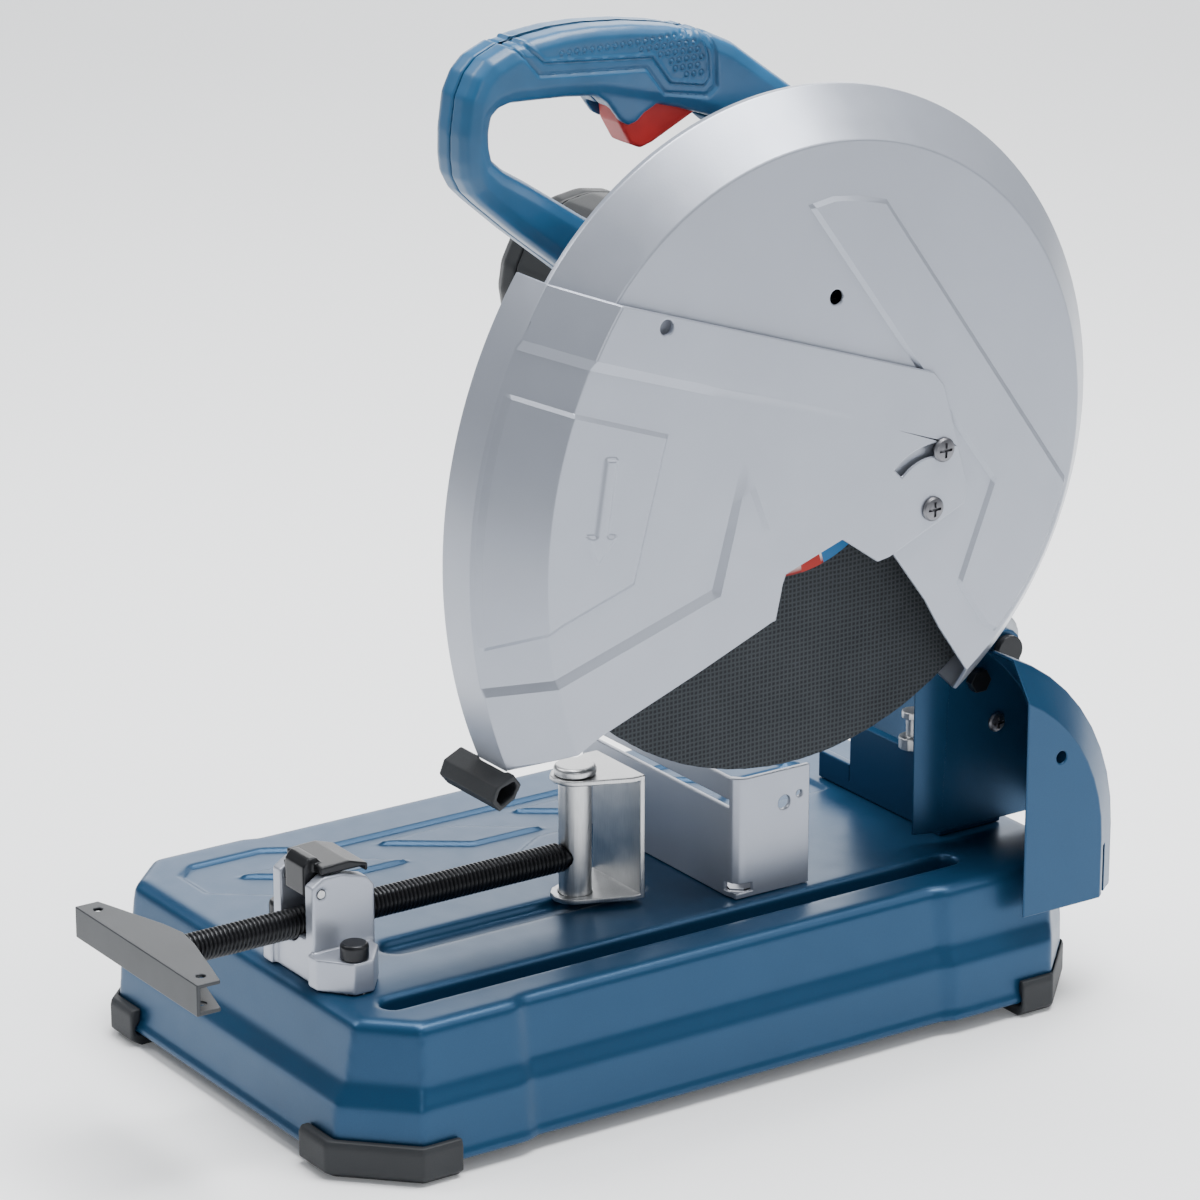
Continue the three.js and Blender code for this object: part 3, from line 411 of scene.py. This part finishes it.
def inside_by(u, v, outline):
    """How far a point lies inside a closed outline; negative outside."""
    inside = False
    nearest = math.inf
    for (u0, v0), (u1, v1) in zip(outline, outline[1:] + outline[:1]):
        du, dv = u1 - u0, v1 - v0
        share = ((u - u0) * du + (v - v0) * dv) / (du * du + dv * dv)
        share = max(0.0, min(1.0, share))
        nearest = min(nearest, math.hypot(u - u0 - share * du, v - v0 - share * dv))
        if (v0 > v) != (v1 > v) and u < u0 + (v - v0) / (v1 - v0) * du:
            inside = not inside
    return nearest if inside else -nearest


def outline_depths(points, outline):
    """inside_by for many points at once."""
    nearest = np.full(len(points), np.inf)
    inside = np.zeros(len(points), bool)
    u, v = points[:, 0], points[:, 1]
    for (u0, v0), (u1, v1) in zip(outline, outline[1:] + outline[:1]):
        du, dv = u1 - u0, v1 - v0
        share = np.clip(((u - u0) * du + (v - v0) * dv) / (du * du + dv * dv), 0, 1)
        nearest = np.minimum(nearest, np.hypot(u - u0 - share * du, v - v0 - share * dv))
        if dv:
            crossing = ((v0 > v) != (v1 > v)) & (u < u0 + (v - v0) / dv * du)
            inside ^= crossing
    return np.where(inside, nearest, -nearest)


def emboss(bm, axis, outline, height, slope, level=None, fade=None):
    """Presses a closed outline up or down in the faces that look along an axis.

    The outline is in millimetres round the wheel, in the two other axes. level keeps to faces at one height,
    and fade(u, v) scales the height from 0 to 1.
    """
    u_axis, v_axis = [k for k in range(3) if k != axis]
    area = sum(a[0] * b[1] - b[0] * a[1] for a, b in zip(outline, outline[1:] + outline[:1]))
    if area < 0:
        outline = outline[::-1]

    def chosen(face):
        least_facing, level_slack = 0.2, 1.0
        if face.normal[axis] < least_facing:
            return False
        height_here = (face.calc_center_median()[axis] - HUB[axis]) / MM
        return level is None or abs(height_here - level) < level_slack

    faces = [face for face in bm.faces if chosen(face)]
    for (u0, v0), (u1, v1) in zip(outline, outline[1:] + outline[:1]):
        length = math.hypot(u1 - u0, v1 - v0)
        inward = Vector((0, 0, 0))
        inward[u_axis] = -(v1 - v0) / length
        inward[v_axis] = (u1 - u0) / length
        start = Vector(HUB)
        start[u_axis] += u0 * MM
        start[v_axis] += v0 * MM
        for depth in (0, slope):
            touched = {item for face in faces for item in (face, *face.edges, *face.verts)}
            bmesh.ops.bisect_plane(bm, geom=list(touched), dist=WELD, plane_co=start + inward * depth * MM,
                                   plane_no=inward)
            faces = [face for face in bm.faces if face.is_valid and chosen(face)]
    moved = {vert for face in faces for vert in face.verts}
    for vert in moved:
        u = (vert.co[u_axis] - HUB[u_axis]) / MM
        v = (vert.co[v_axis] - HUB[v_axis]) / MM
        share = max(0.0, min(1.0, inside_by(u, v, outline) / slope))
        if fade:
            share *= max(0.0, min(1.0, fade(u, v)))
        vert.co[axis] += share * height * MM
    bm.normal_update()


def arc(centre, radius, start, end, steps):
    """Points on a circle in degrees, counted from the first axis."""
    angles = [math.radians(start + (end - start) * i / steps) for i in range(steps + 1)]
    return [(centre[0] + radius * math.cos(a), centre[1] + radius * math.sin(a)) for a in angles]


def lathe(profile, centre, axis, segments, wobble=None):
    """A surface of revolution. The profile is (radius, place along the axis).

    It closes when the profile starts and ends on the axis. A ring's profile ends at its first point, and
    its two equal rims are welded afterwards.
    """
    bm = bmesh.new()
    u_axis, v_axis = [k for k in range(3) if k != axis]
    rings = []
    for radius, along in profile:
        count = 1 if radius == 0 else segments
        ring = []
        for i in range(count):
            angle = 2 * math.pi * i / segments
            reach = radius + (wobble(i) if wobble else 0)
            point = [0.0, 0.0, 0.0]
            point[axis] = along
            point[u_axis] = centre[0] + reach * math.cos(angle)
            point[v_axis] = centre[1] + reach * math.sin(angle)
            ring.append(bm.verts.new(at(*point)))
        rings.append(ring)
    for low, high in zip(rings, rings[1:]):
        for i in range(segments):
            corners = [low[i % len(low)], low[(i + 1) % len(low)],
                       high[(i + 1) % len(high)], high[i % len(high)]]
            corners = list(dict.fromkeys(corners))
            if len(corners) > 2:
                bm.faces.new(corners)
    return bm


def box_mesh(low, high):
    """A box between two opposite corners."""
    bm = bmesh.new()
    bmesh.ops.create_cube(bm, size=1)
    for vert in bm.verts:
        share = vert.co + Vector((0.5, 0.5, 0.5))
        vert.co = at(*[low[k] + (high[k] - low[k]) * share[k] for k in range(3)])
    return bm


def prism(outline, low_x, high_x):
    """A closed solid of one outline, drawn in (Y, Z) and pushed along X."""
    bm = bmesh.new()
    low, high = [[bm.verts.new(at(x, y, z)) for y, z in outline] for x in (low_x, high_x)]
    for i in range(len(outline)):
        j = (i + 1) % len(outline)
        bm.faces.new((low[i], low[j], high[j], high[i]))
    bm.faces.new(low[::-1])
    bm.faces.new(high)
    return bm


def carve(bm, cutters, operation="DIFFERENCE"):
    """Cuts closed meshes out of a closed mesh, or keeps what they share, and returns the result."""
    def temporary(mesh_data):
        mesh = bpy.data.meshes.new("work")
        mesh_data.to_mesh(mesh)
        mesh_data.free()
        work = bpy.data.objects.new("work", mesh)
        bpy.context.scene.collection.objects.link(work)
        return work

    bmesh.ops.recalc_face_normals(bm, faces=bm.faces)
    body = temporary(bm)
    tools = []
    for cutter in cutters:
        bmesh.ops.recalc_face_normals(cutter, faces=cutter.faces)
        tool = temporary(cutter)
        cut = body.modifiers.new("cut", "BOOLEAN")
        cut.operation = operation
        cut.solver = "EXACT"
        cut.object = tool
        tools.append(tool)
    bpy.context.view_layer.update()
    evaluated = body.evaluated_get(bpy.context.evaluated_depsgraph_get())
    result = bmesh.new()
    result.from_mesh(evaluated.to_mesh())
    evaluated.to_mesh_clear()
    for work in (body, *tools):
        bpy.data.objects.remove(work)
    return result


def fused(mesh, voxel_mm, rounds):
    """A closed mesh remeshed finely and smoothed, so that its edges become round."""
    work = bpy.data.objects.new("work", mesh)
    bpy.context.scene.collection.objects.link(work)
    remesh = work.modifiers.new("remesh", "REMESH")
    remesh.mode = "VOXEL"
    remesh.voxel_size = voxel_mm * MM
    smooth = work.modifiers.new("smooth", "SMOOTH")
    smooth.factor = 0.5
    smooth.iterations = rounds
    bpy.context.view_layer.update()
    evaluated = work.evaluated_get(bpy.context.evaluated_depsgraph_get())
    bm = bmesh.new()
    bm.from_mesh(evaluated.to_mesh())
    evaluated.to_mesh_clear()
    bpy.data.objects.remove(work)
    return bm


def softened(node, voxel_mm, rounds):
    """A CAD node's mesh with round edges."""
    return fused(frame["nodes"][node].data.copy(), voxel_mm, rounds)


def fused_solids(solids, voxel_mm, rounds):
    """Several closed solids that overlap, made into one."""
    together = bpy.data.meshes.new("work")
    whole = bmesh.new()
    for solid in solids:
        bmesh.ops.recalc_face_normals(solid, faces=solid.faces)
        part = bpy.data.meshes.new("work")
        solid.to_mesh(part)
        solid.free()
        whole.from_mesh(part)
        bpy.data.meshes.remove(part)
    whole.to_mesh(together)
    whole.free()
    return fused(together, voxel_mm, rounds)


# ---- pieces that keep their CAD shape and get rounded edges or a moulded skin ----
EDGE_WIDTH = {  # in millimetres
    "spark_hood": 0.9, "hinge_bracket": 0.9, "fence": 0.7, "jaw_bracket": 0.7,
    "jaw_pin": 0.8, "crank_handle": 0.6, "hinge_pin": 0.5, "bracket_bolt": 0.5,
    "depth_stop_screw": 0.5, "hood_bolt": 0.5, "fence_bolt_right": 0.5, "fence_bolt_left": 0.5,
    "vise_bolt_right": 0.6, "vise_bolt_left": 0.6, "release_lever_pin": 0.3, "outer_flange": 0.6,
    "inner_flange": 0.6, "spindle_bolt": 0.6, "brush_cap_front": 0.4, "brush_cap_rear": 0.4,
    "cable_gland": 0.5,
}
BLACKENED = ("release_lever", "vise_bolt_right", "vise_bolt_left", "hood_bolt", "hinge_pin",
             "fence_bolt_right", "fence_bolt_left")
OTHER_FINISH = {node: "black_oxide" for node in BLACKENED}
SOFT_PIECES = {  # voxel in millimetres, rounds of smoothing
    "vise_casting": (0.8, 6), "trigger": (0.6, 10), "release_lever": (0.6, 5),
    "foot_front_left": (1.0, 5), "foot_front_right": (1.0, 5), "foot_rear_left": (1.0, 5),
    "foot_rear_right": (1.0, 5), "motor_housing": (1.4, 5), "motor_end_cap": (1.4, 6),
    "gear_housing": (1.3, 5), "swing_arm": (1.2, 6),
}
MADE_ELSEWHERE = (
    "base_shell", "guard_nub", "upper_guard", "swing_guard", "handle_right", "handle_left",
    "vise_screw", "abrasive_wheel", "guard_pivot_screw", "guard_stop_screw", "hood_screw",
)


def refine(node, width):
    """A CAD piece with its sharp edges rounded."""
    bm = cad_copy(node)
    round_edges(bm, width)
    add_piece(node + "_rounded", bm, BODY_OF[node], SLOT_OF[node], OTHER_FINISH.get(node), replaces=(node,))


def finish_cad_pieces():
    """Gives each CAD piece its skin or rounded edges. The rest keep their mesh and only take a material."""
    for node, piece in frame["nodes"].items():
        if node in SOFT_PIECES:
            add_piece(node + "_moulded", softened(node, *SOFT_PIECES[node]), BODY_OF[node], SLOT_OF[node],
                      OTHER_FINISH.get(node), smooth=60, replaces=(node,))
        elif node in EDGE_WIDTH:
            refine(node, EDGE_WIDTH[node])
        elif node not in MADE_ELSEWHERE:
            piece.data.materials.clear()
            piece.data.materials.append(MATERIALS[SLOT_OF[node]])


# ---- pressed base ----
BASE_TOP = -256.5
BASE_VOXEL, BASE_SMOOTHING = 1.7, 9
PRESSED = 1.7  # how far the top's pattern is pushed up or down
PRESSED_SLOPE = 2.4
BASE_PRESSINGS = [
    (-PRESSED, [(-222, -238), (-222, -193), (-206, -166), (-206, 120), (-122, 120), (-122, -160),
                (-158, -219), (-182, -250), (-212, -250)]),
    *[(PRESSED, [(-196, y), (-196, y + 50), (-163, y + 96), (-163, y + 46)])
      for y in (-226, -138, -50, 38)],
    *[(PRESSED, [(-132, y), (-132, y + 50), (-155, y + 85), (-155, y + 35)])
      for y in (-92, -4)],
]


def make_base():
    """The pressed shell: a sunk field on its left half, and slanted bars that stand up from it."""
    bm = softened("base_shell", BASE_VOXEL, BASE_SMOOTHING)
    bm.normal_update()
    least_facing, level_slack = 0.6, 1
    verts = [vert for vert in bm.verts
             if vert.normal.z > least_facing and (vert.co.z - HUB.z) / MM > BASE_TOP - level_slack]
    spot = (np.array([vert.co[:2] for vert in verts]) - np.array(HUB[:2])) / MM
    for height, outline in BASE_PRESSINGS:
        share = np.clip(outline_depths(spot, outline) / PRESSED_SLOPE, 0, 1)
        for vert, rise in zip(verts, share * share * (3 - 2 * share) * height):
            vert.co.z += float(rise) * MM
    add_piece("base_shell_pressed", bm, "base", "blue_paint", smooth=60, replaces=("base_shell",))


# ---- guards ----
WHEEL_CENTRE = (0, 0)
GUARD_PIVOT = (66, -39)
GUARD_STOP = (72.4, -7.9)
UPPER_DISH = {"rim": 189.2, "face": 165, "back_rim": 171.5, "sheet": 2,
              "back": -20, "waist": 4, "shoulder": 7, "front": 32}
SWING_DISH = {"rim": 268.2, "face": 241, "back_rim": 268.2, "sheet": 1.6,
              "back": -18, "waist": -17, "shoulder": 8, "front": 36}
UPPER_REACH, SWING_REACH = (-40, 50), (-40, 60)  # along the spindle, past both faces of each dish
SPINDLE_CLEARANCE = 22
BACK_RADIUS, BACK_HOLE = 169.4, 33
GUARD_EDGE = 0.8
SCREW_HOLE = 3.4
RIVET_HOLE = 4.0
UPPER_OUTLINE = [(-240, -25), (-60, -25), (-34, -38), (12, -38), (30, -46), (44.4, -61.5), (66, -91),
                 (75.5, -107.5), (100, -143), (122, -184), (260, -184), (260, 240), (-240, 240)]
SWING_OUTLINE = [(66, 35), (-330, 169), (-330, -222), (-200, -151), (-142.8, -121.7), (-34.4, -81.1),
                 (-28.4, -57.9), (8.4, -45.7), (31.3, -62), (39, -60.7), (87.7, -39.9), (89.4, -30.3),
                 (72.7, 26.9)]
SLOT_RADIUS, SLOT_HALF = 31.8, 3.3
SLOT_FROM, SLOT_TO = 71.4, 134.3  # degrees round the guard's pivot


def guard_dish(size, centre, hole, segments):
    """The pressed dish of a guard: a flat face, a sloped band and a wall, all of one sheet.

    Its rim, face and back_rim are radii. Its back, waist, shoulder and front are places along the spindle.
    """
    slope = (size["front"] - size["shoulder"]) / (size["rim"] - size["face"])
    drop = size["sheet"] * (math.hypot(1, slope) - 1) / slope
    inner = size["rim"] - size["sheet"]
    inner_front = size["front"] - size["sheet"]
    profile = [(hole, inner_front), (size["face"] - drop * 0.6, inner_front),
               (inner, size["shoulder"] - drop), (inner, size["waist"] - 0.5),
               (size["back_rim"] - size["sheet"], size["back"]), (size["back_rim"], size["back"]),
               (size["rim"], size["waist"]), (size["rim"], size["shoulder"]), (size["face"], size["front"]),
               (hole, size["front"]), (hole, inner_front)]
    bm = lathe(profile, centre, 0, segments)
    bmesh.ops.remove_doubles(bm, verts=bm.verts, dist=WELD)
    return bm


def hole_cutter(radius, centre):
    """A plug along the spindle's axis that passes through a guard's face."""
    back, front, segments = 18, 45, 40
    return lathe([(0, back), (radius, back), (radius, front), (0, front)], centre, 0, segments)


def merge_flats(bm):
    """Joins faces that lie in one plane."""
    bmesh.ops.dissolve_limit(bm, angle_limit=math.radians(0.2), use_dissolve_boundaries=False,
                             verts=bm.verts, edges=bm.edges)
    bm.normal_update()
    return bm


def make_upper_guard():
    """The fixed guard: its dish with one raised panel, and the flat sheet behind the wheel."""
    dish = guard_dish(UPPER_DISH, WHEEL_CENTRE, SPINDLE_CLEARANCE, 176)
    bm = merge_flats(carve(dish, [prism(UPPER_OUTLINE, *UPPER_REACH)], "INTERSECT"))
    raised = [(-13.8, 134.4), (1.8, 136.9), (17.6, 135.1), (35.6, 130.6), (158.5, -41)]
    raised += arc(WHEEL_CENTRE, 163.0, -19, -46, 5)
    raised += [(105.5, -112.7), (86.4, -84.9), (107.6, -31.4)]
    emboss(bm, 0, raised, height=1.7, slope=2.4, level=UPPER_DISH["front"])
    holes = [hole_cutter(SCREW_HOLE, GUARD_PIVOT), hole_cutter(SCREW_HOLE, GUARD_STOP),
             hole_cutter(RIVET_HOLE, (5.1, 83.5))]
    bm = merge_flats(carve(bm, holes))
    round_edges(bm, GUARD_EDGE, least_turn=40, longer_than=0.4)
    add_piece("upper_guard_pressed", bm, "head", "silver_paint", smooth=13, replaces=("upper_guard",))
    low, high = UPPER_DISH["back"], UPPER_DISH["back"] + UPPER_DISH["sheet"]
    profile = [(BACK_HOLE, low), (BACK_RADIUS, low), (BACK_RADIUS, high), (BACK_HOLE, high),
               (BACK_HOLE, low)]
    back = lathe(profile, WHEEL_CENTRE, 0, 128)
    bmesh.ops.remove_doubles(back, verts=back.verts, dist=WELD)
    back = merge_flats(carve(back, [prism(UPPER_OUTLINE, *UPPER_REACH)], "INTERSECT"))
    add_piece("upper_guard_back", back, "head", "silver_paint", smooth=20, replaces=("upper_guard",))


def arrow_outline(start, tip):
    """A plain arrow, from the end of its shaft to its tip."""
    length = math.hypot(tip[0] - start[0], tip[1] - start[1])
    forward = ((tip[0] - start[0]) / length, (tip[1] - start[1]) / length)
    shaft, head, barb = 4.0, 10.0, 16.0
    outline = [(0, -shaft), (0, shaft), (length - barb, shaft), (length - barb, head), (length, 0),
               (length - barb, -head), (length - barb, -shaft)]
    return [(start[0] + s * forward[0] - t * forward[1], start[1] + s * forward[1] + t * forward[0])
            for s, t in outline]


def make_swing_guard():
    """The front guard, with a stepped field that fades out, a panel, an arrow and a lower field."""
    dish = guard_dish(SWING_DISH, GUARD_PIVOT, SCREW_HOLE, 256)
    bm = merge_flats(carve(dish, [prism(SWING_OUTLINE, *SWING_REACH)], "INTERSECT"))
    slot = arc(GUARD_PIVOT, SLOT_RADIUS + SLOT_HALF, SLOT_FROM, SLOT_TO, 16)
    slot += arc(GUARD_PIVOT, SLOT_RADIUS - SLOT_HALF, SLOT_TO, SLOT_FROM, 16)
    step = [(-215, 91), (-178, 80.5), (-141, 68), (-97, 52.5), (-52, 38), (26, 13.8), (40, 60), (-215, 150)]
    emboss(bm, 0, step, height=2.3, slope=5.5, fade=lambda u, v: -u / 150)
    panel = [(-101.3, 29.9), (-121.8, -45.7), (-165.9, -60)] + arc(GUARD_PIVOT, 266.5, 187.6, 158.5, 10)
    emboss(bm, 0, panel, height=1.7, slope=2.3)
    emboss(bm, 0, arrow_outline((-137, 24), (-145.5, -31)), height=1.5, slope=1.3)
    lower = [(-54.8, 12.3), (-74, -57.2), (-173.6, -88.1), (-205, -97), (-202, -150), (-142.8, -130),
             (-20, -80)]
    emboss(bm, 0, lower, height=2.5, slope=4.5, fade=lambda u, v: min((-20 - u) / 50, (20 - v) / 60))
    bm = merge_flats(carve(bm, [prism(slot, 20, 50), hole_cutter(RIVET_HOLE, (-103.7, 86))]))
    round_edges(bm, GUARD_EDGE, least_turn=40, longer_than=0.4)
    add_piece("swing_guard_pressed", bm, "swing_guard", "silver_paint", smooth=13, replaces=("swing_guard",))


def make_cross_screw(name, node, body, slot, centre, face, head_radius):
    """A pan-head screw with a cross recess, whose head sits on a face at one place along the spindle."""
    shank, rise = 2.7, 2.6
    shank_end = (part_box(node)[0].x - HUB.x) / MM
    profile = [(0, shank_end), (shank, shank_end), (shank, face), (head_radius, face),
               (head_radius, face + 0.9), (head_radius * 0.86, face + 1.9),
               (head_radius * 0.55, face + rise - 0.15), (0, face + rise)]
    blade, reach, depth, clear = 0.75, head_radius * 0.62, 1.7, 2
    y, z = centre
    cutters = [box_mesh((face + rise - depth, y - a, z - b), (face + rise + clear, y + a, z + b))
               for a, b in ((blade, reach), (reach, blade))]
    bm = carve(lathe(profile, centre, 0, 40), cutters)
    add_piece(name, bm, body, slot, "core_steel", smooth=32, replaces=(node,))


def make_screws():
    on_guard, guard_head = 36.3, 6.6
    on_hood, hood_head = -20, 5.4
    make_cross_screw("guard_pivot_screw_cross", "guard_pivot_screw", "head", "dark_steel",
                     GUARD_PIVOT, on_guard, guard_head)
    make_cross_screw("guard_stop_screw_cross", "guard_stop_screw", "head", "dark_steel",
                     GUARD_STOP, on_guard, guard_head)
    make_cross_screw("hood_screw_cross", "hood_screw", "base", "plated_steel",
                     (157, -193), on_hood, hood_head)


# ---- cut-off wheel ----
WHEEL_RADIUS, WHEEL_HALF, WHEEL_BORE = 177.5, 1.5, 12.95
RIM_FALL, RIM_STEP = 0.3, 0.4
CHIP_DEPTH, CHIP_SEED, RIM_SEGMENTS = 0.35, 7, 360
LABEL_INNER, LABEL_OUTER = 33, 73
LABEL_BACK, LABEL_FRONT = WHEEL_HALF + 0.05, WHEEL_HALF + 0.22


def make_wheel():
    """The disc with a slightly chipped rim, and its paper label."""
    chips = np.random.default_rng(CHIP_SEED).uniform(-CHIP_DEPTH, 0.0, RIM_SEGMENTS)
    profile = [(WHEEL_BORE, -WHEEL_HALF), (WHEEL_RADIUS - RIM_FALL, -WHEEL_HALF),
               (WHEEL_RADIUS, RIM_STEP - WHEEL_HALF), (WHEEL_RADIUS, WHEEL_HALF - RIM_STEP),
               (WHEEL_RADIUS - RIM_FALL, WHEEL_HALF), (WHEEL_BORE, WHEEL_HALF), (WHEEL_BORE, -WHEEL_HALF)]
    bm = lathe(profile, WHEEL_CENTRE, 0, RIM_SEGMENTS, wobble=lambda i: float(chips[i]))
    bmesh.ops.remove_doubles(bm, verts=bm.verts, dist=WELD)
    add_piece("wheel_disc", bm, "spindle", "wheel_grit", replaces=("abrasive_wheel",))
    label_profile = [(LABEL_INNER, LABEL_BACK), (LABEL_OUTER, LABEL_BACK), (LABEL_OUTER, LABEL_FRONT),
                     (LABEL_INNER, LABEL_FRONT), (LABEL_INNER, LABEL_BACK)]
    label = lathe(label_profile, WHEEL_CENTRE, 0, 180)
    bmesh.ops.remove_doubles(label, verts=label.verts, dist=WELD)
    add_piece("wheel_paper", label, "spindle", "wheel_grit", "wheel_label")


# ---- vise screw ----
def make_vise_screw():
    """A helical thread between a plain end in the crank and a plain end in the jaw."""
    x, z = -63, -229.5
    pitch, root, crest = 2.5, 6.9, 8.0
    start, end = -330.5, -101.5  # where the thread begins and ends
    crank_end, crank_radius = -357.5, 4.4
    jaw_end, jaw_radius = -88, 5.7
    closing_radius, closing_weld = 0.01, 0.05  # the end rings shrink to this and are welded to points
    flank, flat = 2.2, 0.5
    segments, steps_per_turn = 32, 6
    bm = bmesh.new()
    rings = []

    def ring(along, radius_at):
        verts = []
        for i in range(segments):
            angle = 2 * math.pi * i / segments
            radius = radius_at(i / segments)
            verts.append(bm.verts.new(at(x + radius * math.cos(angle), along, z + radius * math.sin(angle))))
        rings.append(verts)

    def thread(turn):
        phase = turn % 1.0
        return root + (crest - root) * max(0.0, min(1.0, flank * (1 - abs(2 * phase - 1)) - flat))

    for along, radius in ((crank_end, closing_radius), (crank_end, crank_radius), (start, crank_radius),
                          (start, root)):
        ring(along, lambda share, r=radius: r)
    count = round((end - start) / pitch * steps_per_turn)
    for k in range(1, count):
        along = start + (end - start) * k / count
        ring(along, lambda share, a=along: thread((a - start) / pitch - share))
    for along, radius in ((end, root), (end, jaw_radius), (jaw_end, jaw_radius), (jaw_end, closing_radius)):
        ring(along, lambda share, r=radius: r)
    for low, high in zip(rings, rings[1:]):
        for i in range(segments):
            j = (i + 1) % segments
            bm.faces.new((low[i], low[j], high[j], high[i]))
    bm.faces.new(rings[0][::-1])
    bm.faces.new(rings[-1])
    bmesh.ops.remove_doubles(bm, verts=rings[0] + rings[-1], dist=closing_weld * MM)
    add_piece("vise_screw_threaded", bm, "crank", "dark_steel", "black_oxide", smooth=50,
              replaces=("vise_screw",))


# ---- handle ----
# the grip's dotted pad and the wider band it sits in, in (Y, Z)
GRIP_PAD = [(-150, 240), (-139.1, 224.0), (-133.9, 217.7), (-123.9, 208.5), (-58.4, 203.0), (-47.4, 188.3),
            (-27.3, 184.5), (-24.5, 187.6), (-25.3, 199.3), (-31.0, 213.9), (-36, 240)]
GRIP_BAND = [(-162, 240), (-146.4, 223.2), (-139.2, 215.5), (-127.3, 201.9), (-62.5, 197.2), (-51.5, 182.8),
             (-25.2, 178.2), (-19.6, 182.4), (-20.5, 201.1), (-24.0, 212.8), (-28, 240)]
FIELD_DEPTH, FIELD_SLOPE = 0.8, 1.1
GROOVE_DEPTH, GROOVE_HALF_WIDTH = 1.5, 1.3
DOT_ROWS, DOT_COLUMNS = 7, 34
FIRST_DOT = (-146, 186.5)
DOT_PITCH = (4.6, 4.1)
DOT_MARGIN, DOT_FIELD = 3.2, 2  # least depth inside the pad of a dot's centre, and of any point it raises
DOT_HEIGHT, DOT_RADIUS = 1.2, 1.6


def grip_dots():
    """Centres of the pad's dots, with every other row set over by half a pitch."""
    across, up = DOT_PITCH
    dots = []
    for row in range(DOT_ROWS):
        height = FIRST_DOT[1] + up * row
        shift = across / 2 if row % 2 else 0
        for column in range(DOT_COLUMNS):
            dots.append((FIRST_DOT[0] + across * column + shift, height))
    return np.array([dot for dot in dots if inside_by(*dot, GRIP_PAD) > DOT_MARGIN])


TRIGGER_HUMP = [(-96, 191), (-90, 185.5), (-85, 182), (-81, 176.5), (-77, 171.2), (-72, 168.4), (-67, 169.6),
                (-62.5, 173.5), (-56, 176.5), (-47, 184), (-70, 194)]
HUMP_FRONT = [(-96, 191), (-90, 185.5), (-85, 182), (-81.5, 178), (-79.2, 180), (-79.2, 191)]
HANDLE_SIDES = {"right": (-42.2, -46.3, -56.8), "left": (-71.8, -67.7, -57.2)}  # cheek faces and the seam
HANDLE_VOXEL, HANDLE_SMOOTHING = 0.85, 16


def handle_with_hump(side):
    """A handle half, fused with its share of the swelling in front of the trigger."""
    outer, inner, seam = HANDLE_SIDES[side]
    half = bmesh.new()
    half.from_mesh(frame["nodes"]["handle_" + side].data)
    cheek = prism(TRIGGER_HUMP, min(outer, inner), max(outer, inner))
    front = prism(HUMP_FRONT, min(outer, seam), max(outer, seam))
    return fused_solids([half, cheek, front], HANDLE_VOXEL, HANDLE_SMOOTHING)


def grip_relief(spot, dots):
    """How far each point of a handle half is pushed in: two sunk fields in grooves, and raised dots."""
    pad = outline_depths(spot, GRIP_PAD)
    band = outline_depths(spot, GRIP_BAND)
    depth = np.zeros(len(spot))
    for field in (band, pad):
        depth += FIELD_DEPTH * np.clip(field / FIELD_SLOPE, 0, 1)
        depth += GROOVE_DEPTH * np.clip(1 - np.abs(field) / GROOVE_HALF_WIDTH, 0, 1)
    nearest = np.full(len(spot), np.inf)
    where = np.flatnonzero(pad > DOT_FIELD)
    for y, z in dots:
        gap = np.hypot(spot[where, 0] - y, spot[where, 1] - z)
        nearest[where] = np.minimum(nearest[where], gap)
    return depth - DOT_HEIGHT * np.clip(1 - (nearest / DOT_RADIUS) ** 2, 0, 1)


def make_handle():
    """Both halves of the handle, with the grip pressed into their cheeks."""
    dots = grip_dots()
    for side in ("right", "left"):
        bm = handle_with_hump(side)
        bm.normal_update()
        verts = list(bm.verts)
        points = np.array([vert.co for vert in verts])
        spot = (points[:, 1:] - np.array(HUB[1:])) / MM
        for vert, amount in zip(verts, grip_relief(spot, dots)):
            if amount:
                vert.co -= vert.normal * float(amount) * MM
        add_piece(f"handle_{side}_soft", bm, "head", "blue_plastic", smooth=60, replaces=("handle_" + side,))


# ---- finger tab of the swing guard ----
NUB_POCKET = [(-180.5, -145.3), (-179.3, -148.6), (-182.2, -153), (-188.6, -156.8), (-191.4, -153.2),
              (-189.2, -148)]
NUB_POCKET_REACH = (3, 20)
NUB_VOXEL, NUB_SMOOTHING = 0.6, 6


def make_guard_nub():
    """A rubber tab with an open pocket in its right end."""
    bm = carve(cad_copy("guard_nub"), [prism(NUB_POCKET, *NUB_POCKET_REACH)])
    soft = fused_solids([bm], NUB_VOXEL, NUB_SMOOTHING)
    add_piece("guard_nub_moulded", soft, "swing_guard", "rubber", smooth=60, replaces=("guard_nub",))


# ---- assembly ----
make_camera()
make_stage()
finish_cad_pieces()
make_base()
make_upper_guard()
make_swing_guard()
make_screws()
make_wheel()
make_vise_screw()
make_handle()
make_guard_nub()

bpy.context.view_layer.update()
import json
